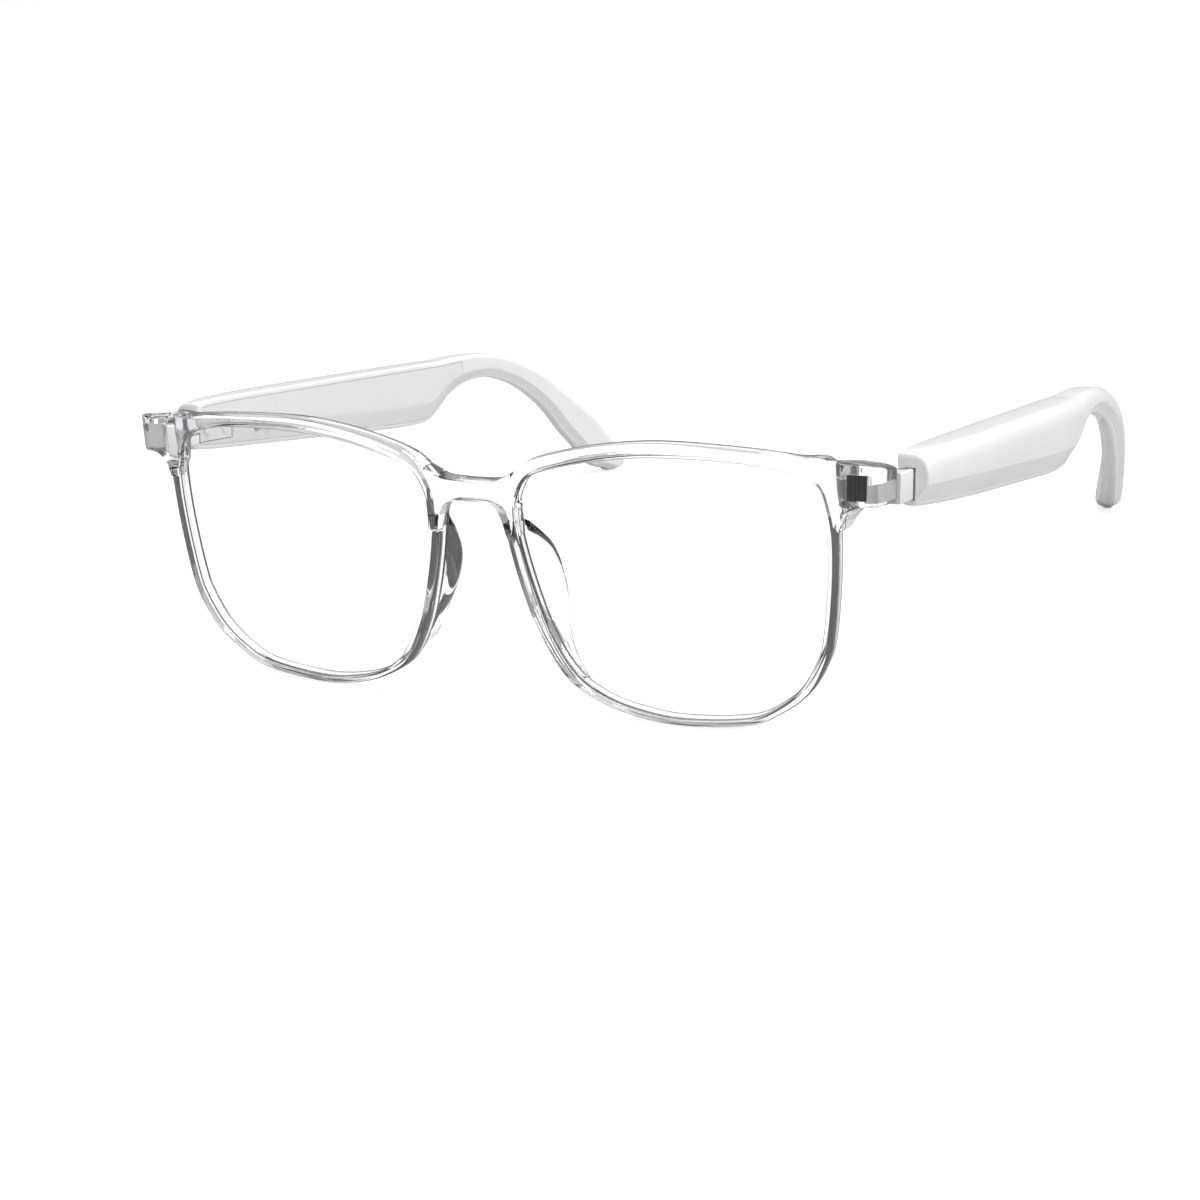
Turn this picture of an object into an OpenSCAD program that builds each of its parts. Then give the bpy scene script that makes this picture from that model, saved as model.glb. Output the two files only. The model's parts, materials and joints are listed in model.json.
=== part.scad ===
// Smart glasses: a clear front with two folding temples that hold the electronics.
// Worn frame: +X to the wearer's left, +Y back towards the ears, +Z up, the lens centres near Z = 0.
// stand() then leans the worn frame back until the rims and the temple tips rest on Z = 0.

/* [Lenses] */
// Width of one lens opening
lens_w = 53.8; // [44:0.1:60]
// Height of one lens opening
lens_h = 44.2; // [34:0.1:50]
// Gap between the two lens openings
bridge_gap = 16.6; // [14:0.1:22]
// Height of the lens opening's middle
lens_mid_z = -4.8; // [-8:0.1:0]
// Thickness of a lens
lens_t = 1.6; // [1:0.1:2.2]
// How far a lens edge goes into its groove
groove_d = 0.5; // [0.3:0.1:0.7]

/* [Front frame] */
// Depth of the rims from front to back
rim_depth = 3.4; // [3:0.1:5]
// Rim width along the top
rim_top = 2.3; // [1.6:0.1:4]
// Rim width at the temple side
rim_side = 1.6; // [1.4:0.1:4]
// Rim width along the bottom
rim_low = 1.3; // [1.1:0.1:4]
// Rim width beside the nose
rim_nose = 2.1; // [1.6:0.1:4]
// Forward lean of the front's top, in degrees
tilt = 9; // [0:0.5:12]
// Backward sweep of each half of the front, in degrees
wrap = 4.1; // [0:0.1:6]
// Height of the bridge bar
bridge_h = 3.5; // [2.5:0.1:6]
// Height of the bridge bar's top in the middle
bridge_top = 11.5; // [8:0.1:14]
// How far each endpiece reaches past its lens opening
end_w = 8.3; // [7.5:0.1:11]
// How far back the endpieces reach
end_back = 11.3; // [10:0.1:14]
// Height of the endpieces
end_h = 7.7; // [7:0.1:10]

/* [Nose pads] */
// Length of a nose pad
pad_l = 24; // [16:0.5:28]
// How far a nose pad reaches back behind the rim
pad_reach = 5.6; // [3:0.1:8]
// Thickness of a nose pad
pad_t = 1.9; // [1.2:0.1:3]

/* [Hinges] */
// Distance from an endpiece's back face to the hinge pin
pin_back = 4.9; // [4.6:0.1:7]
// Width of the hinge lug
lug_w = 3.6; // [3.4:0.1:4.6]
// Height of the hinge lug
lug_h = 4.9; // [4.4:0.1:5.2]
// Height of the hinge lug's middle
lug_z = 13.5; // [13.2:0.1:13.8]
// Radius of the hinge pin
pin_r = 0.5; // [0.4:0.05:0.6]
// Radial clearance of the hinge pin in the temple leaf
pin_gap = 0.05; // [0.02:0.01:0.1]
// Thickness of the temple leaf's knuckle
knuckle_t = 1.1; // [0.8:0.1:1.4]
// Clearance around the lug and beside the knuckle
hinge_gap = 0.15; // [0.1:0.05:0.3]

/* [Temples] */
// Length of the straight part that holds the electronics
body_l = 91; // [76:1:115]
// Length of the ear hook behind it
hook_l = 48.4; // [40:0.1:60]
// How far the ear hook drops below the top edge
hook_drop = 29.3; // [22:0.1:36]
// Height of the temple at its deepest
body_h = 12.2; // [10.2:0.1:15]
// Height of the temple's top edge
top_z = 19; // [18.6:0.1:19.6]
// Greatest thickness of the temple
body_t = 7.3; // [6.4:0.1:9]
// Thickness of the temple at its front end
front_t = 5.3; // [5.1:0.1:6]
// Thickness of the ear hook
hook_t = 4.6; // [3.6:0.1:6]
// Inward turn of each temple, in degrees
toe = 2.2; // [0:0.1:4]
// Inward curve of the ear hook at its tip
hook_in = 8.5; // [0:0.1:12]
// Wall of the temple shell
wall = 1.2; // [1:0.1:1.5]
// Thickness of the inner cover
cover_t = 1; // [0.8:0.1:1.3]
// Clearance around the cover
cover_gap = 0.05; // [0.03:0.01:0.15]

/* [Electronics] */
// Length of the circuit board
board_l = 26; // [20:1:31]
// Length of the battery
battery_l = 22; // [16:1:26]
// Length of the speaker
speaker_l = 13; // [9:0.5:15]
// Space between the electronic pieces
piece_gap = 1.2; // [0.6:0.1:2]
// Clearance between the pieces and the shell
fit_gap = 0.15; // [0.1:0.05:0.4]

/* [Hidden] */
LEFT = 1;
RIGHT = -1;
BIG = 200;
$fn = 40;

// ---- curves ----

// A point on the Catmull-Rom curve from b to c, where a and d are the points on either side.
function through(a, b, c, d, t) =
    0.5 * (2 * b + (c - a) * t + (2 * a - 5 * b + 4 * c - d) * t * t + (3 * b - a - 3 * c + d) * t * t * t);

// A closed smooth outline through the points p, with steps places along each stretch.
function closed_curve(p, steps) = let (n = len(p))
    [for (i = [0 : n - 1]) for (k = [0 : steps - 1])
        through(p[(i + n - 1) % n], p[i], p[(i + 1) % n], p[(i + 2) % n], k / steps)];

// An open smooth line through the points p.
function open_curve(p, steps) = let (n = len(p))
    concat([for (i = [0 : n - 2]) for (k = [0 : steps - 1])
        through(p[max(i - 1, 0)], p[i], p[i + 1], p[min(i + 2, n - 1)], k / steps)], [p[n - 1]]);

// Unit normal on the right-hand side of the line from a to b.
function side_of(a, b) = let (d = b - a) [d[1], -d[0]] / norm(d);

// The closed outline p moved by w[i] along its normal at each point.
function moved(p, w) = let (n = len(p))
    [for (i = [0 : n - 1]) p[i] + w[i] * side_of(p[(i + n - 1) % n], p[(i + 1) % n])];

// The open line p moved by w along its normal.
function line_moved(p, w) = let (n = len(p))
    [for (i = [0 : n - 1]) p[i] + w * side_of(p[max(i - 1, 0)], p[min(i + 1, n - 1)])];

function backwards(p) = [for (i = [len(p) - 1 : -1 : 0]) p[i]];

function arc(c, r, a0, a1, n = 10) = [for (i = [0 : n]) let (a = a0 + (a1 - a0) * i / n)
    c + r * [cos(a), sin(a)]];

// ---- the front's outlines, for the wearer's left half, seen from the front plane ----

lens_mid = [(bridge_gap + lens_w) / 2, lens_mid_z];
// The lens opening as shares of its half width and half height, with the rim's width there.
// It runs clockwise from the middle of the top.
rim_points = [
    [0, 0.99, rim_top], [0.5, 0.977, rim_top], [0.80, 0.915, rim_top], [0.945, 0.81, rim_top],
    [0.992, 0.62, rim_top], [1, 0.40, rim_side], [0.985, 0.10, rim_side], [0.948, -0.25, rim_side],
    [0.905, -0.44, rim_side], [0.79, -0.675, rim_side], [0.62, -0.85, rim_low],
    [0.42, -0.955, rim_low], [0, -1, rim_low], [-0.30, -0.955, rim_low], [-0.52, -0.865, rim_low],
    [-0.69, -0.71, rim_nose - 0.4], [-0.82, -0.44, rim_nose - 0.2], [-0.90, -0.15, rim_nose],
    [-0.965, 0.17, rim_nose], [-1, 0.46, rim_nose], [-0.975, 0.64, rim_nose], [-0.89, 0.79, rim_top],
    [-0.70, 0.875, rim_top], [-0.36, 0.955, rim_top]];
curve_steps = 3;
rim_curve = closed_curve(rim_points, curve_steps);
opening = [for (p = rim_curve) lens_mid + [p[0] * lens_w / 2, p[1] * lens_h / 2]];
rim_width = [for (p = rim_curve) p[2]];
rim_edge = moved(opening, [for (w = rim_width) -w]);
lens_edge = moved(opening, [for (p = opening) -groove_d]);
lens_gap = 0.05;
groove_edge = moved(opening, [for (p = opening) -groove_d - lens_gap]);
lens_y = (rim_depth - lens_t) / 2;

nose_x = bridge_gap / 2;
outer_x = nose_x + lens_w;
end_x = outer_x + end_w;
end_fall = 1; // how far the endpiece's top drops towards its outer end
rim_top_z = lens_mid_z + lens_h / 2 + rim_top;

// Places a piece given by (x, depth, z) in the leaning and swept plane of one half of the front.
module on_front(side) mirror([side < 0 ? 1 : 0, 0, 0]) rotate([tilt, 0, 0]) rotate([0, 0, wrap]) children();

// ---- the temples' outlines, in the temple's own frame ----
// u runs outwards from the inner face, s runs back from the front end, z is the worn height.

body_low = top_z - body_h;
hook_end = body_l + hook_l;
tip_low = top_z - hook_drop;

// Top and bottom edges from the front end to the tip.
top_line = open_curve([[0, top_z - 1.2], [0.9, top_z - 0.7], [7, top_z - 0.2], [body_l * 0.5, top_z],
    [body_l, top_z], [body_l + hook_l * 0.19, top_z - 0.8], [body_l + hook_l * 0.34, top_z - 2.4],
    [body_l + hook_l * 0.48, top_z - 5.2], [body_l + hook_l * 0.61, top_z - 9.2],
    [body_l + hook_l * 0.75, top_z - 14.2], [body_l + hook_l * 0.87, tip_low + hook_drop * 0.35],
    [body_l + hook_l * 0.965, tip_low + hook_drop * 0.17], [hook_end, tip_low + hook_drop * 0.06]], 3);
low_line = open_curve([[0, body_low + 3.7], [0.9, body_low + 3.1], [10, body_low + 2.4],
    [body_l * 0.35, body_low + 1.4], [body_l * 0.65, body_low + 0.2], [body_l * 0.77, body_low - 0.05],
    [body_l - 16.5, body_low + 0.3], [body_l - 13, body_low + 1.8], [body_l - 9, body_low + 4.6],
    [body_l - 4, body_low + 6.6], [body_l + 2, body_low + 7.3], [body_l + hook_l * 0.12, body_low + 7.2],
    [body_l + hook_l * 0.25, body_low + 6], [body_l + hook_l * 0.40, body_low + 3.2],
    [body_l + hook_l * 0.54, tip_low + hook_drop * 0.55], [body_l + hook_l * 0.67, tip_low + hook_drop * 0.30],
    [body_l + hook_l * 0.80, tip_low + hook_drop * 0.08], [body_l + hook_l * 0.87, tip_low + 0.7],
    [body_l + hook_l * 0.94, tip_low], [hook_end - 0.9, tip_low + 0.5]], 3);
side_outline = concat(top_line, backwards(low_line));

// How far the hook has curved inwards at s.
function inward(s) = s < body_l ? 0 : hook_in * pow((s - body_l) / hook_l, 3);
// Thickness at s: it swells over the electronics and narrows into the hook.
function thickness(s) = s < body_l * 0.3
    ? front_t + (body_t - front_t) * sin(90 * s / (body_l * 0.3))
    : s < body_l * 0.7 ? body_t
    : s < body_l + 20
    ? hook_t + (body_t - hook_t) * (1 + cos(180 * (s - body_l * 0.7) / (body_l * 0.3 + 20))) / 2
    : hook_t;
plan_steps = concat([for (k = [0 : 9]) body_l * k / 10], [for (k = [0 : 12]) body_l + hook_l * k / 12]);
plan_outline = concat([for (s = plan_steps) [-inward(s), s]],
    [for (s = backwards(plan_steps)) [thickness(s) - inward(s), s]]);

// The straight part's cross-section: a rounded top edge and a lower face that slants inwards.
body_section = [[-9, top_z + 1], [body_t - 2.6, top_z + 1], [body_t - 2.6, top_z + 0.1],
    [body_t - 1.0, top_z - 0.8],
    [body_t - 0.2, top_z - 2.8], [body_t, top_z - 5.6], [body_t - 0.1, body_low + 4.6],
    [body_t - 2.4, body_low - 0.3], [-9, body_low - 0.3]];

// ---- pieces of the hinge ----

pin_x = end_x - lug_w / 2 + 0.4;
pin_y = end_back + pin_back;
lug_low = lug_z - lug_h / 2;
temple_x = pin_x - 1.2;
temple_y = pin_y + 0.8;
knuckle_r = 1.25;
leaf_t = 1;
slot_h = knuckle_t + 2 * hinge_gap;
leaf_h = slot_h + 1.4;
// The pin's place in the temple's own frame.
pin_u = (pin_x - temple_x) * cos(toe) + (pin_y - temple_y) * sin(toe);
pin_s = -(pin_x - temple_x) * sin(toe) + (pin_y - temple_y) * cos(toe);
notch_s = lug_w / 2 + hinge_gap + pin_s + 0.1;
leaf_plate_l = 9;
leaf_u = pin_u - leaf_t / 2;

// ---- the surface that the glasses stand on ----

low_z = lens_mid_z - lens_h / 2 - rim_low;
foot_y = lens_mid[0] * sin(wrap) * cos(tilt) - low_z * sin(tilt);
foot_z = lens_mid[0] * sin(wrap) * sin(tilt) + low_z * cos(tilt);
tip_foot_y = temple_y + body_l + hook_l * 0.93;
lean = atan2(tip_low - foot_z, tip_foot_y - foot_y);
lift = foot_y * sin(lean) - foot_z * cos(lean);
mid_y = (temple_y + hook_end) * cos(lean) / 2;

// Leans and lifts the worn frame onto the surface that the glasses stand on.
module stand() translate([0, -mid_y, lift]) rotate([-lean, 0, 0]) children();

// ---- building blocks ----

// A flat plate of the outline p, given by (x, z), from depth y to y + depth.
module upright(p, y, depth) translate([0, y + depth, 0]) rotate([90, 0, 0]) linear_extrude(depth) polygon(p);

// A block from corner a to corner b.
module block(a, b) translate(a) cube(b - a);

// A piece given in the temple's own frame by (u, s, z).
module on_temple(side) stand() mirror([side < 0 ? 1 : 0, 0, 0]) translate([temple_x, temple_y, 0])
    rotate([0, 0, toe]) children();

// A plate of the side outline p, given by (s, z), from u0 to u1.
module side_plate(p, u0, u1) translate([u0, 0, 0]) rotate([90, 0, 90]) linear_extrude(u1 - u0) polygon(p);

// ---- front ----

module rims(side) on_front(side) difference() {
    upright(rim_edge, 0, rim_depth);
    upright(opening, -1, rim_depth + 2);
    upright(groove_edge, lens_y - lens_gap, lens_t + 2 * lens_gap);
}

// How much further back the bridge reaches than the rims
bridge_more = 0.6;
module bridge() rotate([tilt, 0, 0]) {
    bridge_low = bridge_top - bridge_h;
    top = open_curve([[nose_x + 6.4, bridge_top + 4.4], [nose_x + 3, bridge_top + 3.2],
        [nose_x - 0.3, bridge_top + 1.5], [nose_x - 3.6, bridge_top + 0.3], [0, bridge_top],
        [3.6 - nose_x, bridge_top + 0.3], [0.3 - nose_x, bridge_top + 1.5],
        [-nose_x - 3, bridge_top + 3.2], [-nose_x - 6.4, bridge_top + 4.4]], 3);
    low = open_curve([[-nose_x - 0.4, -1], [2 - nose_x, bridge_low - 4], [3.6 - nose_x, bridge_low - 0.9],
        [-2.6, bridge_low], [2.6, bridge_low], [nose_x - 3.6, bridge_low - 0.9],
        [nose_x - 2, bridge_low - 4], [nose_x + 0.4, -1]], 3);
    upright(concat(top, low), 0, rim_depth + bridge_more);
}

end_top_z = (rim_top_z - 1) * cos(tilt) + end_x * sin(wrap) * sin(tilt);
end_low_z = end_top_z - end_h;
end_front_y = end_x * sin(wrap) * cos(tilt) - (rim_top_z - 4) * sin(tilt);
end_round = 3;

// The brow: the rim's top edge runs on, nearly level, into the endpiece.
module brow(side) on_front(side) upright([[outer_x - 14, rim_top_z - 2], [outer_x - 14, rim_top_z - 0.4],
    [outer_x - 4, rim_top_z - 0.8], [outer_x + 2, rim_top_z - 1], [outer_x + 2, rim_top_z - 6]], 0, rim_depth);

// The endpiece, with a rounded front corner, and its fillet into the rim.
module endpiece(side) mirror([side < 0 ? 1 : 0, 0, 0]) {
    plan = concat([[outer_x - 3.5, -9]], [[end_x - end_round, end_front_y - 9]],
        arc([end_x - end_round, end_front_y + end_round], end_round, -90, 0),
        [[end_x, end_back], [outer_x + 1.4, end_back], [outer_x - 0.6, end_back - 3.6],
            [outer_x - 3.5, end_back - 5.2]]);
    front = concat([[outer_x - 3.5, end_top_z], [end_x, end_top_z - end_fall]],
        [[end_x, end_low_z + 0.4], [end_x - 2.6, end_low_z]],
        arc([outer_x + 6.2, end_low_z - 4.3], 4.3, 90, 175, 8),
        [[outer_x + 0.6, end_low_z - 6], [outer_x - 3.5, end_low_z - 6]]);
    intersection() {
        translate([0, 0, -BIG / 2]) linear_extrude(BIG) polygon(plan);
        upright(front, -9, 9 + end_back);
    }
    // the lug that holds the hinge pin
    translate([pin_x, 0, lug_low]) {
        translate([0, pin_y, 0]) cylinder(r = lug_w / 2, h = lug_h);
        block([-lug_w / 2, end_back - 3, 0], [lug_w / 2, pin_y, lug_h]);
    }
}

// The front leaf: an upright plate near the endpiece's face, a bar back through the lug, and two knuckles.
plate_w = 2.95;
plate_h = 4;
plate_t = 1.2;
plate_x = pin_x - 3.8;
plate_y = end_front_y + 1.3;
plate_low = end_top_z - 2.75 - plate_h;
bar_w = 1.8;
module front_leaf_body() {
    block([plate_x, plate_y, plate_low], [plate_x + plate_w, plate_y + plate_t, plate_low + plate_h]);
    translate([pin_x, 0, lug_z - leaf_h / 2]) {
        block([-bar_w / 2 - 0.3, plate_y + plate_t / 2, 0], [bar_w / 2, plate_y + plate_t + bar_w, leaf_h]);
        block([-bar_w / 2, plate_y + plate_t, 0], [bar_w / 2, pin_y, leaf_h]);
        translate([0, pin_y, 0]) cylinder(r = knuckle_r, h = leaf_h);
    }
}

// Room for the temple leaf's knuckle between the front leaf's two knuckles, closed on the outer side.
module knuckle_slot() translate([pin_x, pin_y, lug_z - slot_h / 2])
    block([-lug_w, -knuckle_r - hinge_gap, 0], [knuckle_r + hinge_gap, lug_w, slot_h]);

pin_low = lug_low + 0.5;
head_h = 0.5;
head_r = 1;
module pin_body(clearance) translate([pin_x, pin_y, 0]) {
    translate([0, 0, pin_low]) cylinder(r = pin_r, h = lug_low + lug_h - pin_low);
    translate([0, 0, lug_low + lug_h - head_h]) cylinder(r = head_r + clearance, h = head_h + clearance);
}

module front_frame() color([0.93, 0.95, 0.96, 0.5]) stand() difference() {
    union() {
        for (side = [LEFT, RIGHT]) {
            rims(side);
            brow(side);
            endpiece(side);
        }
        bridge();
    }
    for (side = [LEFT, RIGHT]) {
        on_front(side) {
            translate([-BIG / 8, -BIG, -BIG / 2]) cube([BIG, BIG, BIG]);
            upright(opening, -1, rim_depth * 5);
            upright(groove_edge, lens_y - lens_gap, lens_t + 2 * lens_gap);
        }
        mirror([side < 0 ? 1 : 0, 0, 0]) {
            front_leaf_body();
            knuckle_slot();
            pin_body(0);
        }
    }
}

module lens(side) color([0.9, 0.95, 1, 0.25]) stand() on_front(side) upright(lens_edge, lens_y, lens_t);

// The pad's outline beside the nose, given by depth behind the rim and height from the pad's middle.
pad_curve = closed_curve([[-1.6, pad_l / 2 - 1.5], [0.6, pad_l / 2], [pad_reach * 0.55, pad_l * 0.36],
    [pad_reach * 0.95, pad_l * 0.1], [pad_reach, -pad_l * 0.14], [pad_reach * 0.85, -pad_l * 0.34],
    [pad_reach * 0.4, -pad_l * 0.49], [-0.6, -pad_l / 2], [-1.9, -pad_l * 0.42], [-2, 0]], 4);
pad_x = nose_x + 1.4;
pad_z = lens_mid_z - 4;
pad_lean = 14;
pad_flare = 10;
module nose_pad(side) color([0.93, 0.95, 0.96, 0.6]) stand() on_front(side) difference() {
    translate([pad_x, rim_depth, pad_z]) rotate([0, -pad_lean, -pad_flare])
        translate([-pad_t / 2, 0, 0]) rotate([90, 0, 90]) linear_extrude(pad_t) polygon(pad_curve);
    translate([-BIG / 2, -BIG + rim_depth, -BIG / 2]) cube(BIG);
    // the bridge reaches further back than the rims
    rotate([0, 0, -wrap]) translate([-BIG / 2, -BIG + rim_depth + bridge_more, -nose_x])
        cube([BIG / 2 + nose_x, BIG, BIG]);
}

module hinge_leaf_front(side) color([0.12, 0.12, 0.13]) stand() mirror([side < 0 ? 1 : 0, 0, 0]) difference() {
    front_leaf_body();
    knuckle_slot();
    translate([pin_x, pin_y, lug_low]) cylinder(r = pin_r, h = lug_h);
}

module hinge_screw(side) color([0.7, 0.7, 0.72]) stand() mirror([side < 0 ? 1 : 0, 0, 0]) difference() {
    pin_body(0);
    // slot for a screwdriver
    translate([pin_x, pin_y, lug_low + lug_h]) cube([3 * head_r, 0.3, 0.4], center = true);
}

// ---- temples ----

module temple_solid() intersection() {
    side_plate(side_outline, -BIG / 4, BIG / 4);
    translate([0, 0, -BIG / 2]) linear_extrude(BIG) polygon(plan_outline);
    union() {
        translate([0, body_l, 0]) rotate([90, 0, 0]) linear_extrude(BIG) polygon(body_section);
        block([-BIG / 4, body_l, -BIG / 4], [BIG / 4, BIG, BIG / 4]);
    }
}

// The cover's edge: the side outline moved in by the shell's rim, over the electronics.
cover_edge_w = 0.9;
cover_s0 = notch_s + 0.4;
cover_s1 = body_l - 5;
// Height of an edge line q at s, by straight steps between its points.
function height_at(q, s) = let (k = [for (i = [0 : len(q) - 2]) if (q[i][0] <= s && s <= q[i + 1][0]) i][0])
    q[k][1] + (q[k + 1][1] - q[k][1]) * (s - q[k][0]) / (q[k + 1][0] - q[k][0]);
// The side outline between s0 and s1, moved in by w, and by more along its low edge, with straight ends.
function band(w, s0, s1, more = 0) = let (top = line_moved(top_line, w), low = line_moved(low_line, -w - more))
    concat([[s0, height_at(top, s0)]], [for (p = top) if (p[0] > s0 && p[0] < s1) p], [[s1, height_at(top, s1)],
        [s1, height_at(low, s1)]], backwards([for (p = low) if (p[0] > s0 && p[0] < s1) p]),
        [[s0, height_at(low, s0)]]);

room_s0 = notch_s + leaf_plate_l + 1.6;
speaker_s1 = body_l - 16.5;
speaker_s0 = speaker_s1 - speaker_l;
battery_s1 = speaker_s0 - piece_gap;
battery_s0 = battery_s1 - battery_l;
board_s0 = room_s0 + fit_gap;
board_s1 = min(board_s0 + board_l, battery_s0 - piece_gap);
room_s1 = cover_s1 - 1;
room_u1 = front_t + 0.3 - wall;
deep_u1 = body_t - 0.3 - wall;
deep_s0 = battery_s0 - piece_gap;
deep_inset = wall + 0.7;
// The low edge needs more, because the outer face slants inwards there.
deep_more = 1.2;

// The room inside the temple: shallow at the front, deeper over the battery and the speaker.
module room() {
    side_plate(band(wall + 0.5, room_s0, room_s1), cover_t, room_u1);
    side_plate(band(deep_inset, deep_s0, speaker_s1 + 1, deep_more), cover_t, deep_u1);
}

leaf_low = lug_z - lug_h / 2 + 0.2;
leaf_high = lug_z + lug_h / 2 - 0.2;
leaf_s0 = notch_s + 0.5;
leaf_s1 = leaf_s0 + leaf_plate_l;
module leaf_room() {
    // notch that takes the lug's round end
    block([-9, -9, lug_low - hinge_gap], [pin_u + lug_w / 2 + hinge_gap, notch_s, lug_low + lug_h + hinge_gap]);
    block([-9, 0, leaf_low - 0.05], [leaf_u + leaf_t + 0.02, leaf_s1 + 0.1, leaf_high + 0.05]);
}

screw_r = 0.6;
leaf_screw_s = [leaf_s0 + 2, leaf_s1 - 2];
screw_reach = 1.6;
module leaf_screw_places() for (s = leaf_screw_s)
    translate([leaf_u + leaf_t, s, lug_z]) rotate([0, 90, 0]) children();

// The metal core follows the middle of the hook, in both views.
core_w = 1.3;
core_s0 = body_l + 3;
core_s1 = body_l + hook_l * 0.86;
hook_steps = [for (k = [0 : 12]) core_s0 + (core_s1 - core_s0) * k / 12];
function middle_z(s) = (height_at(top_line, s) + height_at(low_line, s)) / 2;
core_mid = [for (s = hook_steps) [s, middle_z(min(s, body_l + hook_l * 0.62))
    - max(0, s - body_l - hook_l * 0.62) * 1.12]];
module tip_core_body(w) intersection() {
    side_plate(concat(line_moved(core_mid, -w / 2), backwards(line_moved(core_mid, w / 2))), -BIG / 4, BIG / 4);
    translate([0, 0, -BIG / 2]) linear_extrude(BIG) polygon(concat(
        [for (s = hook_steps) [hook_t / 2 - inward(s) - w / 2, s]],
        [for (s = backwards(hook_steps)) [hook_t / 2 - inward(s) + w / 2, s]]));
}

mic_s = room_s0 + 3;
mic_u = cover_t + 1.6;
mic = [1.6, 3, 1.1];
mic_low = height_at(low_line, mic_s) + wall + 0.6;
grille_s0 = speaker_s0 + 2;
grille_s1 = speaker_s1 - 2;
grille_low = body_low + 0.5;
grille_t = 0.4;
grille_u = [2.2, 4.4];

module temple_shell(side) color([0.95, 0.95, 0.95]) on_temple(side) difference() {
    temple_solid();
    side_plate(band(cover_edge_w, cover_s0, cover_s1), -9, cover_t);
    room();
    leaf_room();
    leaf_screw_places() cylinder(r = screw_r, h = screw_reach);
    tip_core_body(core_w + 0.1);
    // the speaker's outlet in the underside
    block([grille_u[0], grille_s0, body_low - 3], [grille_u[1], grille_s1, body_low + wall + 3]);
    // the microphone's hole
    translate([mic_u, mic_s, mic_low - 4]) cylinder(r = 0.35, h = 5);
}

contact_s = [room_s0 + 6, room_s0 + 9];
contact_r = 0.9;
module contact_places() for (s = contact_s) translate([0, s, lug_z - 1]) rotate([0, 90, 0]) children();

module temple_cover(side) color([0.93, 0.93, 0.93]) on_temple(side) difference() {
    side_plate(band(cover_edge_w + cover_gap, cover_s0 + cover_gap, cover_s1 - cover_gap), 0, cover_t);
    block([-9, 0, leaf_low - 0.05], [leaf_u + leaf_t + 0.1, leaf_s1 + 0.1, leaf_high + 0.05]);
    contact_places() cylinder(r = contact_r, h = cover_t);
}

module hinge_leaf_temple(side) color([0.6, 0.6, 0.62]) on_temple(side) difference() {
    union() {
        translate([pin_u, pin_s, lug_z - knuckle_t / 2]) cylinder(r = knuckle_r, h = knuckle_t);
        block([leaf_u, pin_s, lug_z - knuckle_t / 2], [leaf_u + leaf_t, leaf_s0 + 1, lug_z + knuckle_t / 2]);
        block([leaf_u, leaf_s0, leaf_low], [leaf_u + leaf_t, leaf_s1, leaf_high]);
    }
    translate([pin_u, pin_s, lug_low]) cylinder(r = pin_r + pin_gap, h = lug_h);
    translate([-leaf_t, 0, 0]) leaf_screw_places() cylinder(r = screw_r, h = leaf_t);
}

module leaf_screws(side) color([0.75, 0.75, 0.76]) on_temple(side) leaf_screw_places() {
    translate([0, 0, -leaf_t]) cylinder(r = screw_r, h = leaf_t + screw_reach);
    translate([0, 0, -leaf_t - 0.3]) cylinder(r = screw_r + 0.4, h = 0.3);
}

board_low = body_low + 5.4;
board_high = top_z - wall - 2.2;
board_u = cover_t + 1.2;
board_t = 0.6;
chip_t = 0.7;
// Each chip as its place along the board, its length and its height
chips = [[0.12, 4.5, 2.8], [0.45, 3.5, 2.6], [0.72, 3, 2.4]];
module circuit_board(side) color([0.1, 0.35, 0.2]) on_temple(side) {
    block([board_u, board_s0, board_low], [board_u + board_t, board_s1, board_high]);
    // radio, amplifier and charger chips
    for (chip = chips) translate([0, board_s0 + chip[0] * board_l, (board_low + board_high - chip[2]) / 2])
        block([board_u + board_t, 0, 0], [board_u + board_t + chip_t, chip[1], chip[2]]);
}

battery_low = height_at(line_moved(low_line, -deep_inset - deep_more), battery_s0) + fit_gap;
battery_high = top_z - deep_inset - fit_gap - 0.3;
module battery(side) color([0.75, 0.76, 0.78]) on_temple(side)
    block([cover_t + 0.3, battery_s0, battery_low], [deep_u1 - fit_gap, battery_s1, battery_high]);

speaker_low = grille_low + 3.4;
module speaker(side) color([0.2, 0.2, 0.22]) on_temple(side) difference() {
    block([cover_t + 0.3, speaker_s0, speaker_low], [deep_u1 - fit_gap, speaker_s1, battery_high - 0.6]);
    block([grille_u[0], grille_s0, speaker_low - 1], [grille_u[1], grille_s1, speaker_low + 1]);
}

module speaker_grille(side) color([0.3, 0.3, 0.32]) on_temple(side) difference() {
    block([grille_u[0], grille_s0, grille_low + 0.4], [grille_u[1], grille_s1, grille_low + 0.4 + grille_t]);
    for (k = [0 : 5]) translate([(grille_u[0] + grille_u[1]) / 2,
        grille_s0 + (k + 0.5) * (grille_s1 - grille_s0) / 6, grille_low]) cylinder(r = 0.45, h = 2);
}

module microphone(side) color([0.8, 0.75, 0.5]) on_temple(side)
    block([mic_u - mic[0] / 2, mic_s - mic[1] / 2, mic_low],
        [mic_u + mic[0] / 2, mic_s + mic[1] / 2, mic_low + mic[2]]);

touch_t = 0.3;
module touch_sensor(side) color([0.85, 0.6, 0.25]) on_temple(side)
    block([room_u1 - touch_t, board_s0 + 1, board_low], [room_u1, board_s1, board_high - 1]);

module charging_contacts(side) color([0.85, 0.7, 0.35]) on_temple(side)
    contact_places() cylinder(r = contact_r, h = cover_t);

module tip_core(side) color([0.6, 0.6, 0.62]) on_temple(side) tip_core_body(core_w);

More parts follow.
